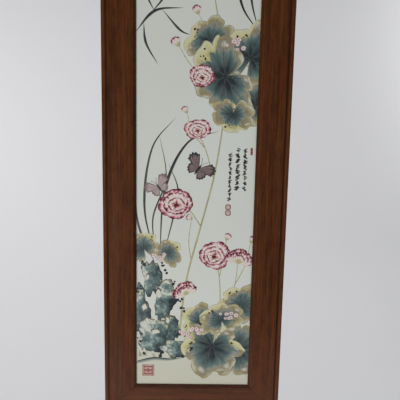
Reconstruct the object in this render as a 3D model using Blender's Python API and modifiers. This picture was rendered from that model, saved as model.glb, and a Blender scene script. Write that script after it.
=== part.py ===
"""A tall narrow porcelain plaque in a mitred hardwood frame, made to hang on a wall.

Metres, +Z up. The front looks along -Y and the frame's back lies in the plane y = 0.
The origin is on that back, on the centre line, level with the necks of the two keyhole plates.
"""

from math import cos, pi, radians, sin

import bmesh
import bpy
from mathutils import Matrix, Vector

# What shows of the porcelain inside the frame
SIGHT_WIDTH = 0.200
SIGHT_HEIGHT = 0.756

# The moulding, across its width from the outer edge and through its depth from the back
MEMBER_WIDTH = 0.056
FRAME_DEPTH = 0.024
BEAD_WIDTH = 0.0068
BEAD_RISE = 0.0021
BEAD_DROP = 0.0008
GROOVE_WIDTH = 0.0032
GROOVE_DEPTH = 0.0030
INNER_BEVEL_WIDTH = 0.0050
INNER_BEVEL_DEPTH = 0.0032
LIP_THICKNESS = 0.0020
ARRIS = 0.0006
BEAD_STEPS = 14

# The porcelain slab and the board behind it
PLAQUE_THICKNESS = 0.006
PLAQUE_LAP = 0.004
PLAQUE_EDGE_RADIUS = 0.0010
BOARD_THICKNESS = 0.004
BOARD_LAP = 0.014
BOARD_EDGE_RADIUS = 0.0005
EDGE_CLEARANCE = 0.0005
SEAT_GAP = 0.0003
MITRE_GAP = 0.0003

# Round-head screws that hold the board on its ledge
BOARD_SCREW_RADIUS = 0.0012
BOARD_SCREW_HEAD_RADIUS = 0.0029
BOARD_SCREW_HEAD_HEIGHT = 0.0017
BOARD_SCREW_BITE = 0.0070
BOARD_SCREWS_UP_A_SIDE = 3
BOARD_SCREWS_ACROSS_AN_END = 2
BOARD_SCREW_END_MARGIN = 0.030
SCREW_CLEARANCE = 0.0003
SCREW_SIDES = 16
SLOT_WIDTH = 0.0008
SLOT_DEPTH = 0.0007

# Keyhole plates let into the back of the top rail
HANGER_SPACING = 0.180
HANGER_NECK_BELOW_TOP = 0.0140
PLATE_WIDTH = 0.0150
PLATE_THICKNESS = 0.0016
PLATE_END = 0.0095
PLATE_CORNER_RADIUS = 0.0045
KEYHOLE_NECK_WIDTH = 0.0046
KEYHOLE_MOUTH_RADIUS = 0.0045
KEYHOLE_DROP = 0.0110
KEYHOLE_STEPS = 24
POCKET_DEPTH = 0.0105
POCKET_MARGIN = 0.0010
PLATE_SCREW_RADIUS = 0.0012
PLATE_SCREW_HEAD_RADIUS = 0.0025
PLATE_SCREW_HEAD_DEPTH = 0.0012
PLATE_SCREW_RIM = 0.0002
PLATE_SCREW_LENGTH = 0.0110
PLATE_SCREW_INSET = 0.0040

# Worked out from the sizes above
OUTER_WIDTH = SIGHT_WIDTH + 2 * MEMBER_WIDTH
OUTER_HEIGHT = SIGHT_HEIGHT + 2 * MEMBER_WIDTH
LIP_UNDERSIDE = FRAME_DEPTH - INNER_BEVEL_DEPTH - LIP_THICKNESS
GLAZE_LEVEL = LIP_UNDERSIDE - SEAT_GAP
PLAQUE_BACK = GLAZE_LEVEL - PLAQUE_THICKNESS
BOARD_LEDGE = PLAQUE_BACK
BOARD_FRONT = BOARD_LEDGE - SEAT_GAP
BOARD_BACK = BOARD_FRONT - BOARD_THICKNESS
CENTRE_Z = HANGER_NECK_BELOW_TOP - OUTER_HEIGHT / 2
PLAQUE_WIDTH = SIGHT_WIDTH + 2 * PLAQUE_LAP
PLAQUE_HEIGHT = SIGHT_HEIGHT + 2 * PLAQUE_LAP
BOARD_WIDTH = SIGHT_WIDTH + 2 * BOARD_LAP
BOARD_HEIGHT = SIGHT_HEIGHT + 2 * BOARD_LAP
SCREW_LINE = (PLAQUE_LAP + BOARD_LAP) / 2
PLATE_TOP = PLATE_END
PLATE_BOTTOM = -(KEYHOLE_DROP + KEYHOLE_MOUTH_RADIUS + PLATE_END - KEYHOLE_NECK_WIDTH / 2)
CUTTER_REACH = 0.16

HARDWOOD = (0.095, 0.034, 0.016, 1.0)
GLAZE = (0.66, 0.68, 0.62, 1.0)
BOARD_WOOD = (0.23, 0.12, 0.055, 1.0)
BRASS = (0.52, 0.36, 0.14, 1.0)


def clear_scene():
    """Removes what a new file holds."""
    for old in list(bpy.data.objects):
        bpy.data.objects.remove(old)


def collection(name):
    """A new collection, linked to the scene."""
    made = bpy.data.collections.new(name)
    bpy.context.scene.collection.children.link(made)
    return made


def material(name, colour, roughness, metallic=0.0):
    """A Principled BSDF material with plain values."""
    made = bpy.data.materials.new(name)
    made.use_nodes = True
    shader = made.node_tree.nodes["Principled BSDF"]
    shader.inputs["Base Color"].default_value = colour
    shader.inputs["Roughness"].default_value = roughness
    shader.inputs["Metallic"].default_value = metallic
    return made


def place(name, mesh, home, finish=None):
    """Links a mesh as an object in a collection, with its material."""
    made = bpy.data.objects.new(name, mesh)
    home.objects.link(made)
    if finish is not None:
        mesh.materials.append(finish)
    return made


def as_cutter(made):
    """Marks an object as a tool that isn't part of the plaque."""
    made.hide_render = True
    made.display_type = "WIRE"
    return made


def outline_solid(name, outline, thickness, home):
    """A flat closed outline given thickness along Z, centred, as a mesh object.

    It is a 2D curve with an extrude of half the thickness, made a mesh and welded.
    """
    curve = bpy.data.curves.new(name, "CURVE")
    curve.dimensions = "2D"
    curve.fill_mode = "BOTH"
    curve.extrude = thickness / 2
    spline = curve.splines.new("POLY")
    spline.points.add(len(outline) - 1)
    for point, (x, y) in zip(spline.points, outline):
        point.co = (x, y, 0.0, 1.0)
    spline.use_cyclic_u = True
    flat = bpy.data.objects.new(name + "_outline", curve)
    home.objects.link(flat)
    bpy.context.view_layer.update()
    ready = flat.evaluated_get(bpy.context.evaluated_depsgraph_get())
    mesh = bpy.data.meshes.new_from_object(ready)
    bpy.data.objects.remove(flat)
    shape = bmesh.new()
    shape.from_mesh(mesh)
    bmesh.ops.remove_doubles(shape, verts=shape.verts, dist=1e-6)
    bmesh.ops.recalc_face_normals(shape, faces=shape.faces)
    shape.to_mesh(mesh)
    shape.free()
    return place(name, mesh, home)


def block(name, low, high, home, finish=None):
    """A box between two corners, with its origin at its centre."""
    size = [b - a for a, b in zip(low, high)]
    shape = bmesh.new()
    bmesh.ops.create_cube(shape, size=1.0, matrix=Matrix.Diagonal((*size, 1.0)))
    mesh = bpy.data.meshes.new(name)
    shape.to_mesh(mesh)
    shape.free()
    made = place(name, mesh, home, finish)
    made.location = [(a + b) / 2 for a, b in zip(low, high)]
    return made


def cut(target, cutter, operation="DIFFERENCE"):
    """Adds a live Boolean to the target."""
    step = target.modifiers.new(cutter.name, "BOOLEAN")
    step.operation = operation
    step.object = cutter
    step.solver = "EXACT"


def soften(target, width, segments=2):
    """Rounds the edges of a block."""
    step = target.modifiers.new("rounded_edges", "BEVEL")
    step.width = width
    step.segments = segments
    step.limit_method = "ANGLE"


def shade_round(made, sharp_degrees=35):
    """Smooth shading that keeps the hard edges."""
    made.data.shade_smooth()
    made.data.set_sharp_from_angle(angle=radians(sharp_degrees))


def moulding_outline():
    """The frame's section as (distance from the outer edge, height above the back) points.

    From the back's outer corner it runs round by the two rebates, the lip, the inner bevel,
    the face and the groove to the half-round bead along the outer edge.
    """
    board_wall = MEMBER_WIDTH - BOARD_LAP - EDGE_CLEARANCE
    plaque_wall = MEMBER_WIDTH - PLAQUE_LAP - EDGE_CLEARANCE
    groove_end = BEAD_WIDTH + GROOVE_WIDTH
    face = FRAME_DEPTH
    bead_foot = face - BEAD_DROP - BEAD_RISE
    outline = [
        (0.0, ARRIS),
        (ARRIS, 0.0),
        (board_wall, 0.0),
        (board_wall, BOARD_LEDGE),
        (plaque_wall, BOARD_LEDGE),
        (plaque_wall, LIP_UNDERSIDE),
        (MEMBER_WIDTH, LIP_UNDERSIDE),
        (MEMBER_WIDTH, LIP_UNDERSIDE + LIP_THICKNESS),
        (MEMBER_WIDTH - INNER_BEVEL_WIDTH, face),
        (groove_end + ARRIS, face),
        (groove_end, face - ARRIS),
        (groove_end, face - GROOVE_DEPTH),
        (BEAD_WIDTH, face - GROOVE_DEPTH),
    ]
    for step in range(BEAD_STEPS + 1):
        turn = pi * step / BEAD_STEPS
        across = BEAD_WIDTH / 2 * (1 + cos(turn))
        outline.append((across, bead_foot + BEAD_RISE * sin(turn)))
    return outline


def member(name, length, placing, home, cutters, finish):
    """One length of moulding with both ends mitred at 45 degrees.

    Its own axes are X across from the outer edge, Y from the back to the face and Z along.
    """
    made = outline_solid(name, moulding_outline(), length, home)
    made.data.materials.append(finish)
    for end, word in ((1, "far"), (-1, "near")):
        slope = Vector((1.0, 0.0, end)).normalized()
        on_cut = Vector((0.0, 0.0, end * length / 2)) - slope * MITRE_GAP / 2
        saw = block(f"{name}_{word}_mitre", (-CUTTER_REACH,) * 3, (CUTTER_REACH,) * 3, cutters)
        turn = Matrix.Rotation(radians(45 * end), 4, "Y")
        saw.matrix_world = placing @ Matrix.Translation(on_cut + slope * CUTTER_REACH) @ turn
        cut(made, as_cutter(saw))
    made.matrix_world = placing
    shade_round(made)
    return made


def frame_members(home, cutters, finish):
    """The two stiles and the two rails, as one moulding turned about the front-to-back axis."""
    half_width = OUTER_WIDTH / 2
    half_height = OUTER_HEIGHT / 2
    across = {
        "stile_left": (Vector((-half_width, 0, 0)), (1, 0, 0), (0, 0, -1), OUTER_HEIGHT),
        "stile_right": (Vector((half_width, 0, 0)), (-1, 0, 0), (0, 0, 1), OUTER_HEIGHT),
        "rail_top": (Vector((0, 0, half_height)), (0, 0, -1), (-1, 0, 0), OUTER_WIDTH),
        "rail_bottom": (Vector((0, 0, -half_height)), (0, 0, 1), (1, 0, 0), OUTER_WIDTH),
    }
    made = {}
    for name, (edge, inward, along, length) in across.items():
        turn = Matrix((inward, (0, -1, 0), along)).transposed().to_4x4()
        placing = Matrix.Translation(edge + Vector((0, 0, CENTRE_Z))) @ turn
        made[name] = member(name, length, placing, home, cutters, finish)
    return made


def slab(name, width, height, front, thickness, radius, home, finish):
    """An upright slab centred in the frame, from its front level backwards."""
    low = (-width / 2, -front, CENTRE_Z - height / 2)
    high = (width / 2, -front + thickness, CENTRE_Z + height / 2)
    made = block(name, low, high, home, finish)
    soften(made, radius)
    return made


def turned(name, profile, home, finish=None, sides=SCREW_SIDES):
    """A turned solid from (radius, height) points, given from its lowest to its highest."""
    mesh = bpy.data.meshes.new(name)
    points = [(radius, 0.0, height) for radius, height in reversed(profile)]
    mesh.from_pydata(points, [(i, i + 1) for i in range(len(points) - 1)], [])
    made = place(name, mesh, home, finish)
    spin = made.modifiers.new("turned", "SCREW")
    spin.angle = 2 * pi
    spin.steps = sides
    spin.render_steps = sides
    spin.use_merge_vertices = True
    spin.merge_threshold = 1e-6
    return made


def facing_back(x, level, z):
    """Where a turned solid goes so that its height runs from a level in the frame to the back."""
    return Matrix.Translation((x, -level, z)) @ Matrix.Rotation(radians(-90), 4, "X")


def board_screw_places():
    """(member, x, z) of each screw through the board's edge."""
    side = SIGHT_WIDTH / 2 + SCREW_LINE
    end = SIGHT_HEIGHT / 2 + SCREW_LINE
    places = []
    run = SIGHT_HEIGHT - 2 * BOARD_SCREW_END_MARGIN
    for number in range(BOARD_SCREWS_UP_A_SIDE):
        z = CENTRE_Z + run * (number / (BOARD_SCREWS_UP_A_SIDE - 1) - 0.5)
        places += [("stile_left", -side, z), ("stile_right", side, z)]
    run = SIGHT_WIDTH - 2 * BOARD_SCREW_END_MARGIN
    for number in range(BOARD_SCREWS_ACROSS_AN_END):
        x = run * (number / (BOARD_SCREWS_ACROSS_AN_END - 1) - 0.5)
        places += [("rail_bottom", x, CENTRE_Z - end), ("rail_top", x, CENTRE_Z + end)]
    return places


def driver_slot(name, placing, top, radius, cutters):
    """The cutter for a straight driver slot across a screw's head."""
    low = (-2 * radius, -SLOT_WIDTH / 2, top - SLOT_DEPTH)
    high = (2 * radius, SLOT_WIDTH / 2, top + SLOT_DEPTH)
    made = block(name, low, high, cutters)
    made.matrix_world = placing @ Matrix.Translation(made.location)
    return as_cutter(made)


def board_screws(home, cutters, members, board, finish):
    """Round-head screws, and their holes through the board and into the ledge."""
    tip = -(BOARD_THICKNESS + SEAT_GAP + BOARD_SCREW_BITE)
    dome = []
    for step in range(5):
        turn = pi / 2 * step / 4
        dome.append((BOARD_SCREW_HEAD_RADIUS * cos(turn), BOARD_SCREW_HEAD_HEIGHT * sin(turn) + SEAT_GAP))
    dome[-1] = (0.0, dome[-1][1])
    shank = [(0.0, tip), (BOARD_SCREW_RADIUS, tip + BOARD_SCREW_RADIUS), (BOARD_SCREW_RADIUS, SEAT_GAP)]
    hole_radius = BOARD_SCREW_RADIUS + SCREW_CLEARANCE
    bore = [(0.0, tip - SCREW_CLEARANCE), (hole_radius, tip - SCREW_CLEARANCE)]
    bore += [(hole_radius, BOARD_THICKNESS), (0.0, BOARD_THICKNESS)]
    for number, (wood, x, z) in enumerate(board_screw_places(), start=1):
        placing = facing_back(x, BOARD_BACK, z)
        screw = turned(f"board_screw_{number:02d}", shank + dome, home, finish)
        screw.matrix_world = placing
        crown = BOARD_SCREW_HEAD_HEIGHT + SEAT_GAP
        cut(screw, driver_slot(f"board_slot_{number:02d}", placing, crown, BOARD_SCREW_HEAD_RADIUS, cutters))
        drill = as_cutter(turned(f"board_drill_{number:02d}", bore, cutters))
        drill.matrix_world = placing
        cut(board, drill)
        cut(members[wood], drill)


def keyhole_outline():
    """The keyhole: a round mouth below, and a narrow neck that ends in a half circle above.

    X is across and Y up, with the neck's centre at the origin.
    """
    neck = KEYHOLE_NECK_WIDTH / 2
    mouth = KEYHOLE_MOUTH_RADIUS
    shoulder = (mouth**2 - neck**2) ** 0.5
    start = pi / 2 + (pi / 2 - Vector((neck, shoulder)).angle(Vector((1, 0))))
    outline = []
    for step in range(KEYHOLE_STEPS + 1):
        turn = start + (2 * pi - 2 * (start - pi / 2)) * step / KEYHOLE_STEPS
        outline.append((mouth * cos(turn), mouth * sin(turn) - KEYHOLE_DROP))
    for step in range(KEYHOLE_STEPS // 2 + 1):
        turn = pi * step / (KEYHOLE_STEPS // 2)
        outline.append((neck * cos(turn), neck * sin(turn)))
    return outline


def round_ended(half_width, top, bottom, radius, steps=6):
    """An upright rectangle with rounded corners, as (x, y) points."""
    outline = []
    corners = (
        (half_width - radius, top - radius, 0.0),
        (radius - half_width, top - radius, pi / 2),
        (radius - half_width, bottom + radius, pi),
        (half_width - radius, bottom + radius, 3 * pi / 2),
    )
    for x, y, start in corners:
        for step in range(steps + 1):
            turn = start + pi / 2 * step / steps
            outline.append((x + radius * cos(turn), y + radius * sin(turn)))
    return outline


def upright(x, depth):
    """Where a flat outline goes so that it stands upright at a depth in front of the wall."""
    return Matrix.Translation((x, -depth, 0.0)) @ Matrix.Rotation(radians(90), 4, "X")


def hanger(side, x, home, cutters, top_rail, finish, screw_finish):
    """A keyhole plate flush with the back, its bed and pocket in the rail, and its two screws."""
    half = PLATE_WIDTH / 2
    plate_outline = round_ended(half, PLATE_TOP, PLATE_BOTTOM, PLATE_CORNER_RADIUS)
    plate = outline_solid(f"keyhole_plate_{side}", plate_outline, PLATE_THICKNESS, home)
    plate.data.materials.append(finish)
    plate.matrix_world = upright(x, PLATE_THICKNESS / 2)
    hole = as_cutter(outline_solid(f"keyhole_{side}", keyhole_outline(), 4 * PLATE_THICKNESS, cutters))
    hole.matrix_world = upright(x, PLATE_THICKNESS / 2)
    cut(plate, hole)

    bed_depth = PLATE_THICKNESS + SEAT_GAP
    grow = SEAT_GAP
    bed_corner = PLATE_CORNER_RADIUS + grow
    bed_outline = round_ended(half + grow, PLATE_TOP + grow, PLATE_BOTTOM - grow, bed_corner)
    bed = as_cutter(outline_solid(f"plate_bed_{side}", bed_outline, 2 * bed_depth, cutters))
    bed.matrix_world = upright(x, 0.0)
    cut(top_rail, bed)
    room = KEYHOLE_MOUTH_RADIUS + POCKET_MARGIN
    floor = -KEYHOLE_DROP - room
    roof = KEYHOLE_NECK_WIDTH / 2 + POCKET_MARGIN
    pocket_outline = round_ended(room, roof, floor, KEYHOLE_NECK_WIDTH / 2)
    pocket = as_cutter(outline_solid(f"hanger_pocket_{side}", pocket_outline, 2 * POCKET_DEPTH, cutters))
    pocket.matrix_world = upright(x, 0.0)
    cut(top_rail, pocket)

    radius, head, sink = PLATE_SCREW_RADIUS, PLATE_SCREW_HEAD_RADIUS, PLATE_SCREW_HEAD_DEPTH
    loose = SCREW_CLEARANCE
    body = [(0.0, -PLATE_SCREW_LENGTH), (radius, radius - PLATE_SCREW_LENGTH), (radius, -sink)]
    body += [(head, -PLATE_SCREW_RIM), (head, 0.0), (0.0, 0.0)]
    bore = [(0.0, -PLATE_SCREW_LENGTH - loose), (radius + loose, -PLATE_SCREW_LENGTH - loose)]
    bore += [(radius + loose, -sink - loose), (head + loose, -loose / 2), (head + loose, loose), (0.0, loose)]
    for word, z in (("top", PLATE_TOP - PLATE_SCREW_INSET), ("bottom", PLATE_BOTTOM + PLATE_SCREW_INSET)):
        placing = facing_back(x, 0.0, z)
        screw = turned(f"plate_screw_{side}_{word}", body, home, screw_finish)
        screw.matrix_world = placing
        cut(screw, driver_slot(f"plate_slot_{side}_{word}", placing, 0.0, head, cutters))
        drill = as_cutter(turned(f"plate_drill_{side}_{word}", bore, cutters))
        drill.matrix_world = placing
        cut(plate, drill)
        cut(top_rail, drill)


def main():
    """Builds the frame, the porcelain, the board and the fixings."""
    clear_scene()
    home = collection("porcelain_plaque")
    cutters = collection("cutters")
    hardwood = material("hardwood", HARDWOOD, 0.45)
    glaze = material("glazed_porcelain", GLAZE, 0.12)
    board_wood = material("board_wood", BOARD_WOOD, 0.7)
    brass = material("brass", BRASS, 0.35, 1.0)

    members = frame_members(home, cutters, hardwood)
    slab("porcelain_slab", PLAQUE_WIDTH, PLAQUE_HEIGHT, GLAZE_LEVEL, PLAQUE_THICKNESS,
         PLAQUE_EDGE_RADIUS, home, glaze)
    board = slab("back_board", BOARD_WIDTH, BOARD_HEIGHT, BOARD_FRONT, BOARD_THICKNESS,
                 BOARD_EDGE_RADIUS, home, board_wood)
    board_screws(home, cutters, members, board, brass)
    for side, x in (("left", -HANGER_SPACING / 2), ("right", HANGER_SPACING / 2)):
        hanger(side, x, home, cutters, members["rail_top"], brass, brass)


main()
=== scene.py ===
"""The look of a framed porcelain plaque: its hardwood moulding, its glaze and its enamel painting.

Metres, +Z up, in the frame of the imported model: the painted front faces -Y and the back lies in y = 0.
The painting is laid out on the porcelain in millimetres, as (across from the centre line, height above
the lower edge of what shows), and every brush mark is a thin closed film of enamel on the glaze.
"""

import math

import bmesh
import bpy
import numpy as np
from mathutils import Matrix, Vector


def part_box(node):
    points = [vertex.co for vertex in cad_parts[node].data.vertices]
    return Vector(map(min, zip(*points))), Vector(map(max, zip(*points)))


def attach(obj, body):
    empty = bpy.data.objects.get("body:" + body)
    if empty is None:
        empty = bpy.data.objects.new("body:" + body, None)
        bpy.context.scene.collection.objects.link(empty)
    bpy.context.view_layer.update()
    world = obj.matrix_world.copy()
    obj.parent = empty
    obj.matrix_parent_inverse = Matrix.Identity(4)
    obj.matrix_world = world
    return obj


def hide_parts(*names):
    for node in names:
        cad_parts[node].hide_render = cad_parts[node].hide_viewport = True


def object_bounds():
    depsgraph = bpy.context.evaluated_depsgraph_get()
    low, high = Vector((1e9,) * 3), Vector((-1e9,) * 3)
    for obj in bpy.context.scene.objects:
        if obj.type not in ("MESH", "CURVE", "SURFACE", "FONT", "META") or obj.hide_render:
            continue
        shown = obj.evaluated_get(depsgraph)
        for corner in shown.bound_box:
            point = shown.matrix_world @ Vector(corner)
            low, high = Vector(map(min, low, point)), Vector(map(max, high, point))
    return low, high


bl_info = {
    "name": "Porcelain Plaque",
    "version": (1, 0, 0),
    "blender": (4, 5, 0),
    "location": "3D View > Sidebar > Plaque",
    "description": "Dresses a framed porcelain plaque with hardwood, glaze and enamel painting",
    "category": "Object",
}

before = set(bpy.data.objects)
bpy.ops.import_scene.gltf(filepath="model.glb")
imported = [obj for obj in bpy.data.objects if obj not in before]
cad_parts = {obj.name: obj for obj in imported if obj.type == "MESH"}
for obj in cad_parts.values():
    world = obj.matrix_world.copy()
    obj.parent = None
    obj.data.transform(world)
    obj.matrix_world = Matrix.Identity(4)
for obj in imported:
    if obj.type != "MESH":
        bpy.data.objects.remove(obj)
CAD_LOW, CAD_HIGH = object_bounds()
MM = 0.001
BODY = "root"

# Places and sizes read from the frame, then the gaps between its parts, the share of a mitre's gap that
# each end gives up along its length, and the distance between two sections of a member
STILE_LOW, STILE_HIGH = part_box("stile_left")
SLAB_LOW, SLAB_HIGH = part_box("porcelain_slab")
BOARD_LOW, BOARD_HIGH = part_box("back_board")
PLATE_LOW, PLATE_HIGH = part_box("keyhole_plate_right")
MEMBER_WIDTH = STILE_HIGH.x - STILE_LOW.x
OUTER_WIDTH = CAD_HIGH.x - CAD_LOW.x
OUTER_HEIGHT = CAD_HIGH.z - CAD_LOW.z
CENTRE_Z = (CAD_HIGH.z + CAD_LOW.z) / 2
FRAME_DEPTH = -STILE_LOW.y
SIGHT_WIDTH = OUTER_WIDTH - 2 * MEMBER_WIDTH
SIGHT_HEIGHT = OUTER_HEIGHT - 2 * MEMBER_WIDTH
SIGHT_BOTTOM = CENTRE_Z - SIGHT_HEIGHT / 2
GLAZE_LEVEL = -SLAB_LOW.y
SLAB_BACK = -SLAB_HIGH.y
SEAT_GAP = 0.0003
EDGE_CLEARANCE = 0.0005
MITRE_GAP = 0.0003
MITRE_SHARE = 0.7071
SECTION_STEP = 0.012

# The hollows behind a keyhole plate: how far outside the back their cutter starts, the bed's corner, and
# the pocket's half width, low and high ends, corner and depth
CUTTER_START = 0.002
PLATE_CORNER = 0.0048
POCKET = (0.0055, -0.0165, 0.0033, 0.0023, 0.0105)

# The camera: its focal length in pixels of a picture 400 wide, its turn and its place
PICTURE_SIZE = 400
CAMERA_FOCAL = 450
CAMERA_TURN = (1.01, -8.205, 1.094)
CAMERA_PLACE = (-0.0054, -0.7747, -0.3534)

# The enamel films: how far one stands over the next, how thin the first is, how deep all are keyed, and how
# many millimetres they run on under the lip. Then the least half width of a brush stroke in millimetres.
FILM_STEP = 0.000008
FILM_FIRST = 0.00003
FILM_KEY = 0.00002
FILM_TUCK = 1.5
THINNEST = 0.03

# The level, in film steps, at which each motif's first film lies
ROCK_LEVEL = 1
WRITING_LEVEL = 1
STALK_LEVEL = 1
BLADE_LEVEL = 0
LEAF_LEVEL = 5
GRASS_LEVEL = 9
WING_LEVEL = 10
FLOWER_LEVEL = 15.5
SIDE_FLOWER_LEVEL = 24

# The angle between two lobes of a leaf and the depth of the cuts between them, the width left at a stalk's
# end, the light that shows through a seal, the cells of the noise table, and how far above the foot the
# glaze turns warm
LOBE = math.radians(52)
LOBE_DEPTH = 0.26
STALK_END = 0.55
SEAL_LIGHT = (0.75, 0.76, 0.70)
TABLE_CELLS = 64
WARM_REACH = 0.17


def linear(red, green, blue):
    """Linear light from an sRGB colour given from 0 to 255."""
    share = np.array([red, green, blue]) / 255
    return tuple(np.where(share <= 0.04045, share / 12.92, ((share + 0.055) / 1.055) ** 2.4).tolist())


def colour_setting(name, description, red, green, blue):
    """A colour that a user can change, with an sRGB default."""
    return bpy.props.FloatVectorProperty(
        name=name, description=description, subtype="COLOR", size=3, min=0, max=1,
        default=linear(red, green, blue))


def length_setting(name, description, metres):
    """A length that a user can change."""
    return bpy.props.FloatProperty(
        name=name, description=description, unit="LENGTH", precision=4, min=0, default=metres)


def share_setting(name, description, value, top=1.0):
    """A plain number from 0 up that a user can change."""
    return bpy.props.FloatProperty(name=name, description=description, min=0, max=top, default=value)


class FrameSettings(bpy.types.PropertyGroup):
    """The hardwood moulding, its board and its brass."""

    bead_width: length_setting("Bead width", "Round bead along the outer edge", 0.0068)
    bead_rise: length_setting("Bead rise", "Height of the bead over its foot", 0.0016)
    bead_drop: length_setting("Bead drop", "How far the bead's crown lies under the face", 0.0010)
    groove_width: length_setting("Groove width", "Groove between the bead and the face", 0.0032)
    groove_depth: length_setting("Groove depth", "Depth of that groove", 0.0030)
    bevel_width: length_setting("Bevel width", "Slope beside the porcelain", 0.0050)
    bevel_depth: length_setting("Bevel depth", "Fall of that slope", 0.0032)
    planing: length_setting("Planing marks", "Waviness left by the plane", 0.00004)
    dark_wood: colour_setting("Dark wood", "Dark bands of the grain", 48, 24, 11)
    light_wood: colour_setting("Light wood", "Light bands of the grain", 88, 50, 25)
    red_wood: colour_setting("Red wood", "Redder patches of the grain", 90, 38, 19)
    tan_wood: colour_setting("Tan wood", "Yellower streaks of the grain", 92, 62, 25)
    dusty_wood: colour_setting("Dusty wood", "Bloom of dust on the lower part", 120, 98, 96)
    worn_wood: colour_setting("Worn edge", "Where the edges are rubbed", 112, 74, 48)
    board_wood: colour_setting("Board", "Thin board behind the porcelain", 158, 122, 84)
    brass: colour_setting("Brass", "Plates and screws", 176, 142, 78)


class GlazeSettings(bpy.types.PropertyGroup):
    """The porcelain's glaze."""

    body: colour_setting("Glaze", "Grey-green white of the glaze", 199, 203, 197)
    warm: colour_setting("Warm glaze", "Where the kiln's air left it warmer", 182, 180, 160)
    roughness: share_setting("Roughness", "Roughness of the glaze", 0.09)
    ripple: length_setting("Ripple", "Waviness of the glaze", 0.00012)


class PaintSettings(bpy.types.PropertyGroup):
    """The enamel colours of the painting."""

    teal: colour_setting("Teal", "Blue-green wash of leaves and rock", 86, 108, 106)
    pale_teal: colour_setting("Pale teal", "Thin blue-grey wash", 134, 149, 145)
    deep_teal: colour_setting("Deep teal", "Dark heart of the leaves", 30, 36, 43)
    ochre: colour_setting("Ochre", "Brown-ochre leaf ends", 134, 122, 94)
    umber: colour_setting("Umber", "Dark rim of the ochre", 80, 68, 50)
    straw: colour_setting("Straw", "Pale yellow-olive stems and turned leaves", 188, 184, 138)
    olive: colour_setting("Olive", "Shaded side of the stems", 134, 132, 92)
    crimson: colour_setting("Crimson", "Petal tips and hearts", 84, 12, 29)
    rose: colour_setting("Rose", "Thin crimson wash", 168, 88, 106)
    blush: colour_setting("Blush", "Pale body of the petals", 216, 200, 198)
    plum: colour_setting("Plum", "Brown-violet of the wings", 128, 108, 108)
    ink: colour_setting("Ink", "Iron black of blades and writing", 28, 27, 29)
    grey: colour_setting("Grey", "Thin ink", 104, 106, 100)
    seal: colour_setting("Seal red", "Red of the seals", 130, 44, 36)
    bare: colour_setting("Bare", "Lights left in the glaze's own colour", 196, 195, 182)


class StageSettings(bpy.types.PropertyGroup):
    """The lights, the backdrop and the camera."""

    backdrop: colour_setting("Backdrop", "Pale cloth behind and below", 240, 240, 242)
    key_power: bpy.props.FloatProperty(
        name="Key light", description="Power of the soft light at the left", subtype="POWER", default=22.0)
    fill_power: bpy.props.FloatProperty(
        name="Fill light", description="Power of the soft light at the right", subtype="POWER", default=7.0)
    cloth_power: bpy.props.FloatProperty(
        name="Backdrop light", description="Power of the light on the backdrop", subtype="POWER", default=8.0)
    rear_power: bpy.props.FloatProperty(
        name="Rear light", description="Power of the soft light behind", subtype="POWER", default=12.0)
    sky: share_setting("Sky", "Strength of the even light all round", 0.28, 5.0)
    wall_distance: length_setting("Wall distance", "From the plaque's back to the backdrop", 1.7)
    floor_drop: length_setting("Floor drop", "From the plaque's centre down to the floor", 1.3)


class Signal:
    """A shader socket. Arithmetic on it adds Math nodes."""

    def __init__(self, finish, socket):
        self.finish = finish
        self.socket = socket

    def _maths(self, operation, first, second):
        return self.finish.node("ShaderNodeMath", {"operation": operation}, {0: first, 1: second})

    def __add__(self, other):
        return self._maths("ADD", self, other)

    def __radd__(self, other):
        return self._maths("ADD", other, self)

    def __sub__(self, other):
        return self._maths("SUBTRACT", self, other)

    def __rsub__(self, other):
        return self._maths("SUBTRACT", other, self)

    def __mul__(self, other):
        return self._maths("MULTIPLY", self, other)

    def __rmul__(self, other):
        return self._maths("MULTIPLY", other, self)

    def rising(self, low, high):
        """0 below low and 1 above high, with a smooth rise between them."""
        settings = {"interpolation_type": "SMOOTHSTEP", "clamp": True}
        inputs = {"Value": self, "From Min": low, "From Max": high}
        return self.finish.node("ShaderNodeMapRange", settings, inputs)


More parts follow.
